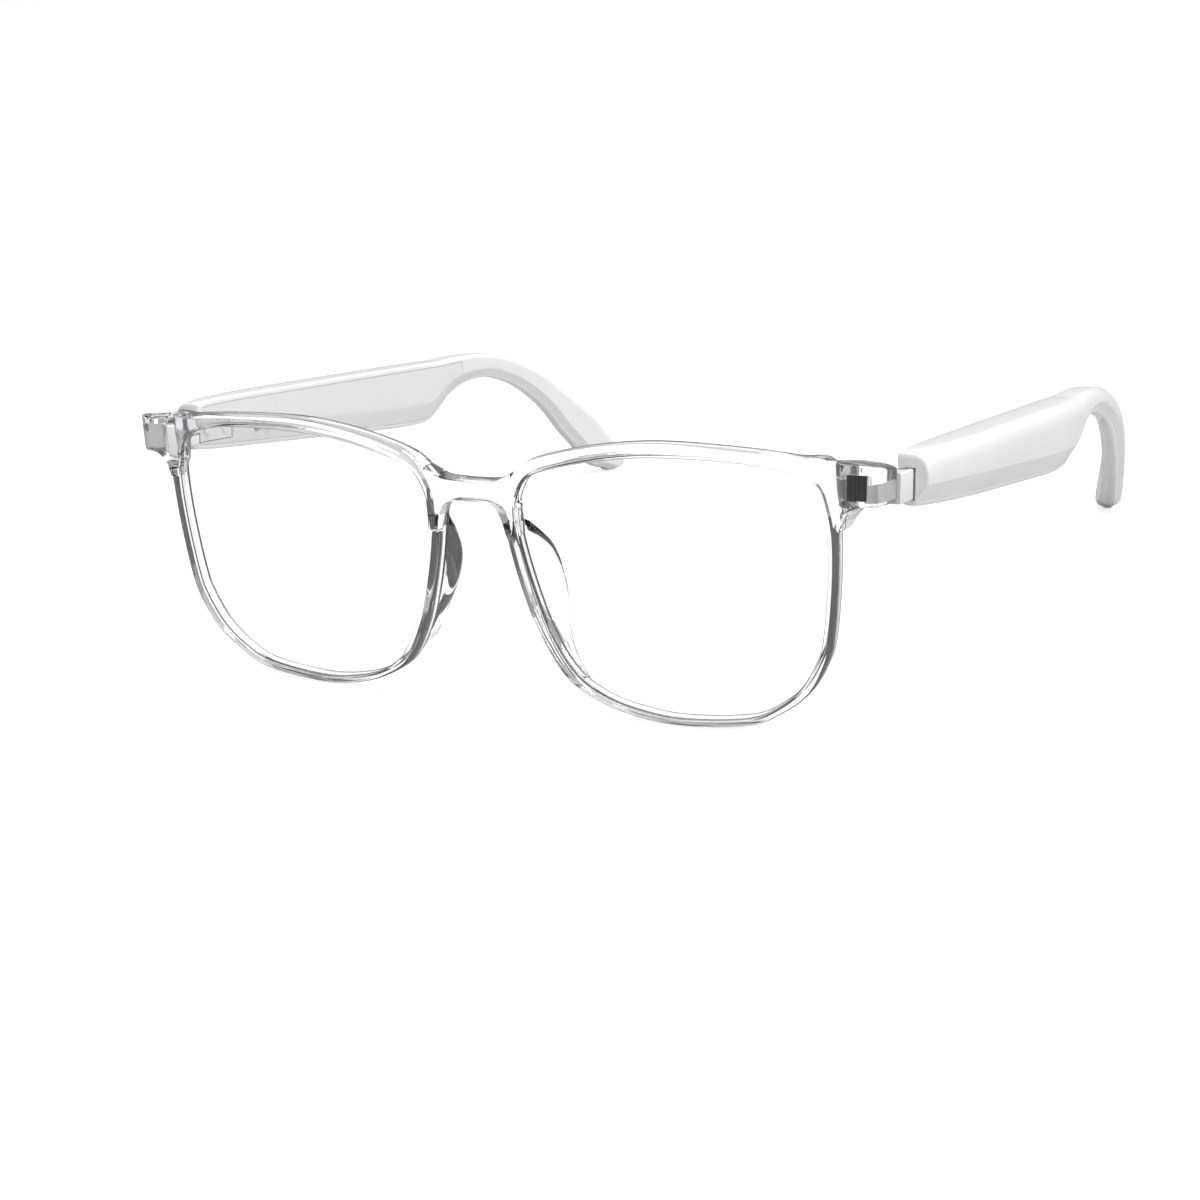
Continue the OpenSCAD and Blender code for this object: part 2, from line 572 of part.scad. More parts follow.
front_frame();
lens(LEFT);  // lens_left
lens(RIGHT);  // lens_right
nose_pad(LEFT);  // nose_pad_left
nose_pad(RIGHT);  // nose_pad_right
hinge_leaf_front(LEFT);  // hinge_leaf_front_left
hinge_leaf_front(RIGHT);  // hinge_leaf_front_right
hinge_screw(LEFT);  // hinge_screw_left
hinge_screw(RIGHT);  // hinge_screw_right
temple_shell(LEFT);  // temple_shell_left
temple_cover(LEFT);  // temple_cover_left
hinge_leaf_temple(LEFT);  // hinge_leaf_temple_left
leaf_screws(LEFT);  // leaf_screws_left
circuit_board(LEFT);  // circuit_board_left
battery(LEFT);  // battery_left
speaker(LEFT);  // speaker_left
speaker_grille(LEFT);  // speaker_grille_left
microphone(LEFT);  // microphone_left
touch_sensor(LEFT);  // touch_sensor_left
charging_contacts(LEFT);  // charging_contacts_left
tip_core(LEFT);  // tip_core_left
temple_shell(RIGHT);  // temple_shell_right
temple_cover(RIGHT);  // temple_cover_right
hinge_leaf_temple(RIGHT);  // hinge_leaf_temple_right
leaf_screws(RIGHT);  // leaf_screws_right
circuit_board(RIGHT);  // circuit_board_right
battery(RIGHT);  // battery_right
speaker(RIGHT);  // speaker_right
speaker_grille(RIGHT);  // speaker_grille_right
microphone(RIGHT);  // microphone_right
touch_sensor(RIGHT);  // touch_sensor_right
charging_contacts(RIGHT);  // charging_contacts_right
tip_core(RIGHT);  // tip_core_right
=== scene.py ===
"""Smart glasses: a clear front, clear lenses and pads, and two white temples, built around the fixed frame.

Shapes are worked out in the worn frame, in millimetres: +X to the wearer's left, +Y back towards the
ears, +Z up, with the temples level. The glasses stand leaning back from it, on their rims and tips.
"""

import json
import math

import bmesh
import bpy
import numpy as np
from mathutils import Matrix, Vector


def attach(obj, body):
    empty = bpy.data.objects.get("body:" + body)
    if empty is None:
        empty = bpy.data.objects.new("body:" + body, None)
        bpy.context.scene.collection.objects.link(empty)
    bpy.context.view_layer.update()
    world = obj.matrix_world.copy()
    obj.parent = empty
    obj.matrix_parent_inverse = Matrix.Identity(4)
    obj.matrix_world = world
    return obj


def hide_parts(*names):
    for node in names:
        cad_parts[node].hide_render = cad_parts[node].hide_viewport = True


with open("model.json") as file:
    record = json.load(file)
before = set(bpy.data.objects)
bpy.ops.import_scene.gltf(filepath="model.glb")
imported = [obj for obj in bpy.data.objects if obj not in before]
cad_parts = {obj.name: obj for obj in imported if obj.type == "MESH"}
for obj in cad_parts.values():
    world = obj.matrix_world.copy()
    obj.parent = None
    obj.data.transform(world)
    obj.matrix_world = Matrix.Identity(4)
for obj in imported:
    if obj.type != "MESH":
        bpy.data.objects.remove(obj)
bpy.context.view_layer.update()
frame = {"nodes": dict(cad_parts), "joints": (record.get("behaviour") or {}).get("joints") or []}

bl_info = {
    "name": "Smart Glasses",
    "version": (1, 0, 0),
    "blender": (4, 5, 0),
    "location": "View3D > Sidebar > Glasses",
    "description": "Builds smart glasses with a clear front and white folding temples",
    "category": "Add Mesh",
}

SIDES = {"left": 1, "right": -1}
JOINT = {j["name"]: j for j in frame["joints"]}
MM = 0.001


# ---------------------------------------------------------------- sizes and colours

def mm(name, description, default):
    """A length property, shown in millimetres."""
    return bpy.props.FloatProperty(name=name, description=description, default=default, min=0.0, soft_max=200.0)


def tone(name, description, default):
    """A colour property."""
    return bpy.props.FloatVectorProperty(name=name, description=description, subtype="COLOR",
                                         default=default, min=0.0, max=1.0, size=3)


def degrees(name, description, default):
    """An angle property, given in degrees."""
    return bpy.props.FloatProperty(name=name, description=description, subtype="ANGLE",
                                   default=math.radians(default))


class GlassesFront(bpy.types.PropertyGroup):
    """Sizes of the clear front."""
    lens_w: mm("Lens width", "Width of one lens opening", 53.8)
    lens_h: mm("Lens height", "Height of one lens opening", 44.2)
    bridge_gap: mm("Bridge gap", "Gap between the two lens openings", 16.6)
    lens_drop: mm("Lens drop", "How far the openings' middle lies below the worn frame's zero", 4.8)
    rim_depth: mm("Rim depth", "Depth of the rims from front to back", 3.4)
    lens_t: mm("Lens thickness", "Thickness of a lens", 1.6)
    rim_round: mm("Rim rounding", "Rounding of the rims' outer edges", 0.8)
    groove: mm("Groove depth", "How far a lens edge goes into its groove", 0.5)
    bulge: mm("Lens bulge", "How far a lens curves forward in the middle", 0.8)
    bridge_top: mm("Bridge top", "Height of the bridge bar's top in the middle", 11.5)
    bridge_h: mm("Bridge height", "Height of the bridge bar", 3.5)
    end_w: mm("Endpiece reach", "How far an endpiece reaches past its lens opening", 8.3)
    end_back: mm("Endpiece back", "How far back the endpieces reach", 11.3)
    end_h: mm("Endpiece height", "Height of an endpiece", 7.7)
    lug_w: mm("Lug width", "Width of a hinge lug", 3.6)
    lug_h: mm("Lug height", "Height of a hinge lug", 4.9)
    tilt: degrees("Tilt", "Forward lean of the front's top", 9.0)
    wrap: degrees("Wrap", "Backward sweep of each half of the front", 4.1)


class GlassesTemple(bpy.types.PropertyGroup):
    """Sizes of a temple."""
    body_l: mm("Body length", "Length of the straight part", 91.0)
    body_t: mm("Body thickness", "Greatest thickness of a temple", 7.3)
    front_t: mm("Front thickness", "Thickness at the front end", 5.3)
    hook_l: mm("Hook length", "Length of the ear hook", 48.4)
    hook_t: mm("Hook thickness", "Thickness of the ear hook", 4.6)
    hook_in: mm("Hook curve", "Inward curve of the hook at its tip", 8.5)
    cover_t: mm("Cover thickness", "Thickness of the inner cover", 1.0)
    seam: mm("Seam", "Clearance around the inner cover", 0.08)
    wall: mm("Wall", "Wall of the temple shell", 1.2)
    toe: degrees("Toe", "Inward turn of each temple", 2.2)
    pin_y: mm("Pin place", "How far back of the front the hinge pin stands", 16.2)
    pin_z: mm("Pin height", "Height of the hinge's middle", 13.5)


class GlassesLook(bpy.types.PropertyGroup):
    """Colours of the pieces."""
    crystal: tone("Crystal", "Colour of the clear plastic seen straight through", (0.905, 0.91, 0.912))
    # Crystal edge is painted shade: the dark colour the clear plastic takes where it turns away, for the outlines
    # that refraction gives.
    crystal_painted_edge_shade: tone("Crystal painted edge shade", "Colour of the clear plastic where it turns away", (0.07, 0.073, 0.076))
    lens_tint: tone("Lens", "Colour of the lenses", (0.985, 0.988, 0.99))
    white: tone("White", "Colour of the temple shells", (0.9, 0.9, 0.903))
    cover_white: tone("Cover white", "Colour of the inner covers", (0.84, 0.84, 0.843))
    floor: tone("Floor", "Colour of the floor", (0.5, 0.5, 0.5))


class GlassesView(bpy.types.PropertyGroup):
    """The viewing angle, in the worn frame."""
    azimuth: degrees("Azimuth", "Turn of the view to the wearer's left", 28.693)
    elevation: degrees("Elevation", "Height of the view", 10.926)
    roll: degrees("Roll", "Roll of the view", -0.077)
    focal: bpy.props.FloatProperty(name="Focal length", description="Focal length on a 36 mm sensor",
                                   default=81.6, unit="CAMERA")
    place: bpy.props.FloatVectorProperty(name="Place", description="Place of the camera in the worn frame, in mm",
                                         default=(229.7, -375.7, 76.4), size=3)


# ---------------------------------------------------------------- the worn frame

def lean():
    """The angle by which the standing glasses lean back, read from the hinge pin's direction."""
    axis = JOINT["fold_left"]["axis"]
    return math.atan2(axis[1], axis[2])


def worn_to_row():
    """The 4 x 4 matrix that takes millimetres in the worn frame to metres in the row frame."""
    temple = bpy.context.scene.glasses_temple
    pin = Vector(JOINT["fold_left"]["pos_m"])
    turn = Matrix.Rotation(-lean(), 4, "X")
    worn_pin = Vector((pin.x, temple.pin_y * MM, temple.pin_z * MM))
    return Matrix.Translation(pin - turn @ worn_pin) @ turn @ Matrix.Scale(MM, 4)


def on_front(p, side=1):
    """Points (x, depth, z) in the swept and leaning plane of one half of the front, taken to the worn frame."""
    f = bpy.context.scene.glasses_front
    x, y, z = p[..., 0], p[..., 1], p[..., 2]
    swept_x = x * math.cos(f.wrap) - y * math.sin(f.wrap)
    swept_y = x * math.sin(f.wrap) + y * math.cos(f.wrap)
    return tilted(np.stack([side * swept_x, swept_y, z], -1))


def tilted(p):
    """Points (x, depth, z) in the upright front, leant to the worn frame."""
    t = bpy.context.scene.glasses_front.tilt
    x, y, z = p[..., 0], p[..., 1], p[..., 2]
    return np.stack([x, y * math.cos(t) - z * math.sin(t), y * math.sin(t) + z * math.cos(t)], -1)


def on_temple(p, side=1):
    """Points (u, s, z) in a temple's own frame, taken to the worn frame."""
    t = bpy.context.scene.glasses_temple
    u, s, z = p[..., 0], p[..., 1], p[..., 2]
    x0 = JOINT["fold_left"]["pos_m"][0] / MM - 1.2
    y0 = t.pin_y + 0.8
    return np.stack([side * (x0 + u * math.cos(t.toe) - s * math.sin(t.toe)),
                     y0 + u * math.sin(t.toe) + s * math.cos(t.toe), z], -1)


# ---------------------------------------------------------------- curves and grids

def catmull(points, steps, closed=True):
    """A Catmull-Rom curve through the rows of points, worked out for every stretch at once."""
    p = np.asarray(points, float)
    n = len(p)
    count = n if closed else n - 1
    i = np.arange(count)
    if closed:
        a, b, c, d = p[(i - 1) % n], p[i], p[(i + 1) % n], p[(i + 2) % n]
    else:
        a, b, c, d = p[np.maximum(i - 1, 0)], p[i], p[i + 1], p[np.minimum(i + 2, n - 1)]
    t = (np.arange(steps) / steps)[None, :, None]
    a, b, c, d = a[:, None], b[:, None], c[:, None], d[:, None]
    curve = 0.5 * (2 * b + (c - a) * t + (2 * a - 5 * b + 4 * c - d) * t**2 + (3 * b - a - 3 * c + d) * t**3)
    curve = curve.reshape(-1, p.shape[1])
    return curve if closed else np.vstack([curve, p[-1:]])


def offset_line(p, w, closed=False):
    """A 2-D line moved by w along its right-hand normal."""
    if closed:
        d = np.roll(p, -1, 0) - np.roll(p, 1, 0)
    else:
        d = np.gradient(p, axis=0)
    d /= np.linalg.norm(d, axis=1, keepdims=True)
    return p + np.asarray(w).reshape(-1, 1) * np.stack([d[:, 1], -d[:, 0]], 1)


def quads(rows, cols, close_rows=False, close_cols=True):
    """Faces of a grid of rows x cols points, closed round either way."""
    r = np.arange(rows if close_rows else rows - 1)[:, None]
    c = np.arange(cols if close_cols else cols - 1)[None, :]
    r1, c1 = (r + 1) % rows, (c + 1) % cols
    return np.stack([r * cols + c, r * cols + c1, r1 * cols + c1, r1 * cols + c], -1).reshape(-1, 4)


def skin(rings, closed_path=False):
    """Vertices and faces of a surface through rings (rows, cols, 3), with its ends closed by fans."""
    rows, cols = rings.shape[:2]
    verts = rings.reshape(-1, 3)
    faces = quads(rows, cols, closed_path).tolist()
    if not closed_path:
        ends = np.stack([rings[0].mean(0), rings[-1].mean(0)])
        verts = np.vstack([verts, ends])
        c = np.arange(cols)
        first, last = rows * cols, rows * cols + 1
        faces += np.stack([np.full(cols, first), (c + 1) % cols, c], 1).tolist()
        base = (rows - 1) * cols
        faces += np.stack([np.full(cols, last), base + c, base + (c + 1) % cols], 1).tolist()
    return verts, faces


def prism(outline, low, high, axis):
    """A closed 2-D outline carried straight along one axis, from low to high."""
    rings = np.stack([np.insert(outline, axis, low, axis=1), np.insert(outline, axis, high, axis=1)])
    return skin(rings)


def block(a, b):
    """A box from corner a to corner b."""
    a, b = np.asarray(a, float), np.asarray(b, float)
    square = np.array([[a[1], a[2]], [b[1], a[2]], [b[1], b[2]], [a[1], b[2]]])
    return prism(square, a[0], b[0], 0)


def disc(c, r, count=32):
    """A circle of points around c."""
    a = np.linspace(0, 2 * math.pi, count, endpoint=False)
    return np.stack([c[0] + r * np.cos(a), c[1] + r * np.sin(a)], 1)


# ---------------------------------------------------------------- meshes and pieces

def mesh_object(name, verts, faces, worn=True):
    """A new object from worn-frame vertices, with its faces made to point outwards."""
    mesh = bpy.data.meshes.new(name)
    verts = np.asarray(verts, float)
    mesh.from_pydata(verts.tolist(), [], [list(f) for f in faces])
    if worn:
        mesh.transform(worn_to_row())
    obj = bpy.data.objects.new(name, mesh)
    bpy.context.scene.collection.objects.link(obj)
    outward(obj)
    return obj


def outward(obj):
    """Makes a closed mesh's faces point outwards, by the sign of its volume."""
    bm = bmesh.new()
    bm.from_mesh(obj.data)
    bmesh.ops.recalc_face_normals(bm, faces=bm.faces)
    if bm.calc_volume(signed=True) < 0:
        bmesh.ops.reverse_faces(bm, faces=bm.faces)
    bm.to_mesh(obj.data)
    bm.free()


def cut_or_join(obj, others, operation):
    """Cuts the others from obj, or joins them to it, as exact solids, and removes the others."""
    for other in others:
        mod = obj.modifiers.new("solid", "BOOLEAN")
        mod.operation = operation
        mod.solver = "EXACT"
        mod.object = other
    graph = bpy.context.evaluated_depsgraph_get()
    made = bpy.data.meshes.new_from_object(obj.evaluated_get(graph))
    old = obj.data
    obj.modifiers.clear()
    obj.data = made
    made.name = obj.name
    bpy.data.meshes.remove(old)
    for other in others:
        data = other.data
        bpy.data.objects.remove(other)
        bpy.data.meshes.remove(data)
    return obj


def tidy_solid(obj, angle=32, gap=0.00001):
    """Merges doubled points, then shades the surface smooth but for its real corners."""
    bm = bmesh.new()
    bm.from_mesh(obj.data)
    bmesh.ops.remove_doubles(bm, verts=bm.verts, dist=gap)
    bmesh.ops.dissolve_degenerate(bm, edges=bm.edges, dist=gap)
    bm.to_mesh(obj.data)
    bm.free()
    obj.data.shade_smooth()
    obj.data.set_sharp_from_angle(angle=math.radians(angle))
    return obj


def finished(obj, material, body, slot, *nodes):
    """Gives a piece its material and body, and hides the CAD nodes that it stands for."""
    obj.data.materials.clear()
    obj.data.materials.append(material)
    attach(obj, body)
    if nodes:
        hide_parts(*nodes)
    return obj


# ---------------------------------------------------------------- shared shader groups

def new_group(name, inputs, outputs):
    """An empty shader node group with named sockets: its tree, what comes in, and the node for what goes out."""
    group = bpy.data.node_groups.new(name, "ShaderNodeTree")
    for kind, label, default in inputs:
        socket = group.interface.new_socket(name=label, in_out="INPUT", socket_type="NodeSocket" + kind)
        socket.default_value = default
    for kind, label in outputs:
        group.interface.new_socket(name=label, in_out="OUTPUT", socket_type="NodeSocket" + kind)
    return group, group.nodes.new("NodeGroupInput").outputs, group.nodes.new("NodeGroupOutput")


def feed(tree, node, inputs):
    """Gives a node's input sockets plain values, or links them to other nodes' outputs."""
    for socket, value in inputs.items():
        if isinstance(value, bpy.types.NodeSocket):
            tree.links.new(value, node.inputs[socket])
        else:
            node.inputs[socket].default_value = value


def add_node(tree, kind, inputs=None, **settings):
    """A new node with its own settings and its inputs."""
    node = tree.nodes.new(kind)
    for name, value in settings.items():
        setattr(node, name, value)
    feed(tree, node, inputs or {})
    return node


def math_value(tree, operation, *inputs):
    """What a Math node makes of its inputs."""
    return add_node(tree, "ShaderNodeMath", dict(enumerate(inputs)), operation=operation).outputs[0]


def colour_mix(tree, factor, a, b):
    """The colour between a and b."""
    return add_node(tree, "ShaderNodeMix", {0: factor, 6: a, 7: b}, data_type="RGBA").outputs[2]


def handled_group():
    """Faint handling marks: two scales of noise give a roughness and a slightly varied colour."""
    group, came, goes = new_group(
        "handled_surface",
        [("Color", "Colour", (0.8, 0.8, 0.8, 1)), ("Color", "Worn colour", (0.7, 0.7, 0.7, 1)),
         ("Float", "Roughness", 0.2), ("Float", "Spread", 0.05), ("Float", "Scale", 60.0)],
        [("Color", "Colour"), ("Float", "Roughness")])
    place = add_node(group, "ShaderNodeTexCoord").outputs["Object"]
    finer = math_value(group, "MULTIPLY", came["Scale"], 9.0)
    wide = add_node(group, "ShaderNodeTexNoise", {"Vector": place, "Scale": came["Scale"], "Detail": 4})
    fine = add_node(group, "ShaderNodeTexNoise", {"Vector": place, "Scale": finer, "Detail": 2})
    both = math_value(group, "MULTIPLY", wide.outputs["Fac"], fine.outputs["Fac"])
    mask = add_node(group, "ShaderNodeMapRange", {"Value": both, "From Min": 0.12, "From Max": 0.42}).outputs[0]
    spread = math_value(group, "MULTIPLY", mask, came["Spread"])
    feed(group, goes, {"Colour": colour_mix(group, mask, came["Colour"], came["Worn colour"]),
                       "Roughness": math_value(group, "ADD", spread, came["Roughness"])})
    return group


def grain_group():
    """Fine moulded grain: a height from stretched noise, for a Bump node."""
    group, came, goes = new_group(
        "fine_grain", [("Float", "Scale", 900.0), ("Float", "Stretch", 1.0)], [("Float", "Height")])
    place = add_node(group, "ShaderNodeTexCoord").outputs["Object"]
    axes = add_node(group, "ShaderNodeCombineXYZ", {0: 1, 1: came["Stretch"], 2: 1})
    stretched = add_node(group, "ShaderNodeVectorMath", {0: place, 1: axes.outputs[0]}, operation="MULTIPLY")
    noise = add_node(group, "ShaderNodeTexNoise",
                     {"Vector": stretched.outputs[0], "Scale": came["Scale"], "Detail": 3})
    feed(group, goes, {"Height": noise.outputs["Fac"]})
    return group


def painted_edge_shade_group():
    """Painted edge shade for clear plastic: the colour darkens from the plain colour to the edge colour as the
    surface turns away, standing in for the dark outlines that refraction gives.
    """
    group, came, goes = new_group(
        "painted_edge_shade",
        [("Float", "Facing", 0.0), ("Color", "Colour", (1, 1, 1, 1)), ("Color", "Painted edge shade", (0.3, 0.3, 0.3, 1)),
         ("Float", "Start", 0.55), ("Float", "End", 1.0)],
        [("Color", "Colour")])
    ramp = add_node(group, "ShaderNodeMapRange",
                    {"Value": came["Facing"], "From Min": came["Start"], "From Max": came["End"]},
                    interpolation_type="SMOOTHSTEP")
    feed(group, goes, {"Colour": colour_mix(group, ramp.outputs[0], came["Colour"], came["Painted edge shade"])})
    return group


GROUP_MAKERS = {"handled_surface": handled_group, "fine_grain": grain_group, "painted_edge_shade": painted_edge_shade_group}


def group_node(tree, name, inputs):
    """A shared group placed in a material."""
    group = bpy.data.node_groups.get(name) or GROUP_MAKERS[name]()
    return add_node(tree, "ShaderNodeGroup", inputs, node_tree=group)


def rgba(colour):
    return (*colour[:3], 1.0)


def new_material(name):
    """A material with its tree and its Principled BSDF, or with nothing more where it stands already."""
    old = bpy.data.materials.get(name)
    if old:
        return old, None, None
    material = bpy.data.materials.new(name)
    material.use_nodes = True
    return material, material.node_tree, material.node_tree.nodes["Principled BSDF"]


def grain_bump(tree, shader, strength, distance, scale, stretch=1.0):
    """Fine grain in a shader's normal."""
    grain = group_node(tree, "fine_grain", {"Scale": scale, "Stretch": stretch})
    bump = add_node(tree, "ShaderNodeBump",
                    {"Strength": strength, "Distance": distance, "Height": grain.outputs["Height"]})
    feed(tree, shader, {"Normal": bump.outputs["Normal"]})


def clear_material(name, colour, edge, start, end, ior, roughness, wave=0.0):
    """Clear plastic or glass: full transmission, with painted shade that darkens the colour where the surface turns
    away.
    """
    material, tree, shader = new_material(name)
    if tree is None:
        return material
    # The facing angle darkens the base colour towards the edge colour: painted edge shade.
    facing = add_node(tree, "ShaderNodeLayerWeight", {"Blend": 0.5})
    marks = group_node(tree, "handled_surface",
                       {"Colour": rgba(colour), "Worn colour": rgba([c * 0.985 for c in colour]),
                        "Roughness": roughness, "Spread": roughness, "Scale": 45.0})
    painted_edge_shade = group_node(tree, "painted_edge_shade",
                           {"Facing": facing.outputs["Facing"], "Colour": marks.outputs["Colour"],
                            "Painted edge shade": rgba(edge), "Start": start, "End": end})
    feed(tree, shader, {"Base Color": painted_edge_shade.outputs["Colour"], "Roughness": marks.outputs["Roughness"],
                        "Transmission Weight": 1.0, "IOR": ior})
    if wave:
        grain_bump(tree, shader, wave, 0.0003, 170.0)
    return material


def solid_material(name, colour, worn, roughness, spread=0.05, scale=60.0, metallic=0.0, coat=0.0,
                   grain=0.0, grain_scale=900.0, stretch=1.0):
    """An opaque finish: handled colour and roughness, with fine grain in its bump."""
    material, tree, shader = new_material(name)
    if tree is None:
        return material
    marks = group_node(tree, "handled_surface",
                       {"Colour": rgba(colour), "Worn colour": rgba(worn), "Roughness": roughness,
                        "Spread": spread, "Scale": scale})
    feed(tree, shader, {"Base Color": marks.outputs["Colour"], "Roughness": marks.outputs["Roughness"],
                        "Metallic": metallic, "Coat Weight": coat, "Coat Roughness": 0.04})
    if grain:
        grain_bump(tree, shader, grain, 0.00005, grain_scale, stretch)
    return material


# ---------------------------------------------------------------- this object's finishes

def crystal_plastic():
    look = bpy.context.scene.glasses_look
    return clear_material("crystal_plastic", look.crystal, look.crystal_painted_edge_shade, 0.46, 0.95, 1.49, 0.008, wave=0.28)


def pad_plastic():
    look = bpy.context.scene.glasses_look
    return clear_material("pad_plastic", look.crystal, look.crystal_painted_edge_shade, 0.7, 1.0, 1.42, 0.02, wave=0.1)


def lens_plastic():
    look = bpy.context.scene.glasses_look
    # The lenses take a faint painted edge shade where they turn away.
    return clear_material("lens_plastic", look.lens_tint, [c * 0.8 for c in look.lens_tint], 0.7, 1.0, 1.12, 0.0)


def shell_plastic():
    colour = bpy.context.scene.glasses_look.white
    return solid_material("white_shell_plastic", colour, [c * 0.985 for c in colour], 0.16, 0.05, coat=0.5,
                          grain=0.05, grain_scale=1500.0)


def cover_plastic():
    colour = bpy.context.scene.glasses_look.cover_white
    return solid_material("white_cover_plastic", colour, [c * 0.98 for c in colour], 0.34, 0.08, grain=0.25)


def leaf_metal(name, plate):
    """The front leaf's finish: a pale satin bar, with a zone of another colour near the endpiece's face; on the left
    leaf that zone is painted shade, black where the leaf shows through the clear endpiece, while the right leaf's
    zone stays pale.
    """
    zone_depth = 1.85
    row = worn_to_row()
    material, tree, shader = new_material(name)
    if tree is None:
        return material
    marks = group_node(tree, "handled_surface",
                       {"Colour": (0.80, 0.80, 0.81, 1), "Worn colour": (0.72, 0.72, 0.73, 1), "Roughness": 0.38,
                        "Spread": 0.12, "Scale": 200.0})
    place = add_node(tree, "ShaderNodeTexCoord").outputs["Object"]
    back = (row.to_3x3() @ Vector((0, 1, 0))).normalized()
    limit = (row @ Vector((0, end_values()[3] + zone_depth, 0))).dot(back)
    depth = add_node(tree, "ShaderNodeVectorMath", {0: place, 1: back}, operation="DOT_PRODUCT")
    wave = add_node(tree, "ShaderNodeTexWave", {"Vector": place, "Scale": 420.0, "Distortion": 0.4},
                    bands_direction="X")
    striped = colour_mix(tree, wave.outputs["Fac"], rgba(plate), rgba([c + 0.025 for c in plate]))
    # Zone near the endpiece's face: black painted shade on the left leaf, pale on the right.
    painted_zone = math_value(tree, "LESS_THAN", depth.outputs["Value"], limit)
    feed(tree, shader, {"Base Color": colour_mix(tree, painted_zone, marks.outputs["Colour"], striped),
                        "Roughness": marks.outputs["Roughness"]})
    return material


# Painted shade: the left front leaf is painted black where it shows through the clear endpiece.
def painted_shade_plate():
    return leaf_metal("hinge_leaf_painted_shade", (0.012, 0.012, 0.013))


def pale_plate():
    return leaf_metal("pale_hinge_plate", (0.86, 0.86, 0.87))


def satin_leaf():
    return solid_material("satin_leaf", (0.8, 0.8, 0.81), (0.74, 0.74, 0.75), 0.4, 0.1, scale=200.0, grain=0.3)


def nickel():
    return solid_material("nickel_plate", (0.72, 0.71, 0.69), (0.6, 0.59, 0.57), 0.3, 0.1, metallic=1.0, grain=0.2)


def pin_steel():
    return solid_material("pin_steel", (0.62, 0.62, 0.64), (0.5, 0.5, 0.52), 0.2, 0.15, metallic=1.0, grain=0.2,
                          stretch=10.0)


def board_mask():
    return solid_material("board_mask", (0.02, 0.16, 0.08), (0.05, 0.24, 0.13), 0.35, 0.15, scale=400.0, grain=0.4)


def cell_foil():
    return solid_material("cell_foil", (0.68, 0.69, 0.71), (0.55, 0.56, 0.58), 0.3, 0.2, metallic=1.0, grain=0.8,
                          grain_scale=500.0)


def speaker_black():
    return solid_material("speaker_black", (0.02, 0.02, 0.022), (0.05, 0.05, 0.052), 0.45, 0.15, grain=0.5)


def grille_metal():
    return solid_material("grille_metal", (0.05, 0.05, 0.053), (0.12, 0.12, 0.125), 0.4, 0.15, metallic=0.8,
                          grain=0.4)


def plated_gold():
    return solid_material("plated_gold", (0.83, 0.62, 0.27), (0.66, 0.48, 0.2), 0.22, 0.15, metallic=1.0, grain=0.2)


def sensor_film():
    return solid_material("sensor_film", (0.55, 0.3, 0.06), (0.4, 0.2, 0.05), 0.3, 0.15, scale=300.0, grain=0.2)


NODE_FINISHES = {
    # The two front leaves are lit and shaded copies of one material: the left one carries painted shade near its
    # endpiece, the right one stays pale.
    "hinge_leaf_front_left": painted_shade_plate, "hinge_leaf_front_right": pale_plate, "hinge_screw": pin_steel,
    "hinge_leaf_temple": satin_leaf, "leaf_screws": satin_leaf, "circuit_board": board_mask,
    "battery": cell_foil, "speaker": speaker_black, "speaker_grille": grille_metal,
    "microphone": plated_gold, "touch_sensor": sensor_film, "charging_contacts": nickel, "tip_core": pin_steel,
}


# ---------------------------------------------------------------- the front's shapes

# The lens opening as shares of its half width and half height, clockwise from the middle of the top,
# and the rim's width there in mm.
RIM_POINTS = np.array([
    (0, 0.99, 2.3), (0.5, 0.977, 2.3), (0.80, 0.915, 2.3), (0.945, 0.81, 2.3), (0.992, 0.62, 2.3),
    (1, 0.40, 1.6), (0.985, 0.10, 1.6), (0.948, -0.25, 1.6), (0.905, -0.44, 1.6), (0.79, -0.675, 1.6),
    (0.62, -0.85, 1.3), (0.42, -0.955, 1.3), (0, -1, 1.3), (-0.30, -0.955, 1.3), (-0.52, -0.865, 1.3),
    (-0.69, -0.71, 1.7), (-0.82, -0.44, 1.9), (-0.90, -0.15, 2.1), (-0.965, 0.17, 2.1), (-1, 0.46, 2.1),
    (-0.975, 0.64, 2.1), (-0.89, 0.79, 2.3), (-0.70, 0.875, 2.3), (-0.36, 0.955, 2.3)])
# Towards the endpiece the rim's outer edge leaves the opening: row, and how far out and up it lies, in mm.
RIM_CORNER = np.array([(1, 0.1, 2.1), (2, 0.85, 2.7), (3, 2.5, 4.6), (4, 2.1, 2.6), (5, 1.65, 0)])
CURVE_STEPS = 10


def rim_curves():
    """The opening's edge and the rim's outer edge, as matching closed curves of (x, z).

    The outer edge's control points lie a rim's width out along the opening's normal, but for the corner.
    """
    f = bpy.context.scene.glasses_front
    middle = np.array([(f.bridge_gap + f.lens_w) / 2, -f.lens_drop])
    control = middle + RIM_POINTS[:, :2] * np.array([f.lens_w, f.lens_h]) / 2
    outer = offset_line(control, -RIM_POINTS[:, 2], closed=True)
    rows = RIM_CORNER[:, 0].astype(int)
    outer[rows] = control[rows] + RIM_CORNER[:, 1:]
    return catmull(control, CURVE_STEPS), catmull(outer, CURVE_STEPS)


def corner(r, turn, count=5):
    """A quarter round of radius r: distances from the wall and from the face, from wall to face or back."""
    a = np.linspace(0, math.pi / 2, count)
    d = np.stack([r - r * np.cos(a), r - r * np.sin(a)], 1)
    return d if turn > 0 else d[::-1]


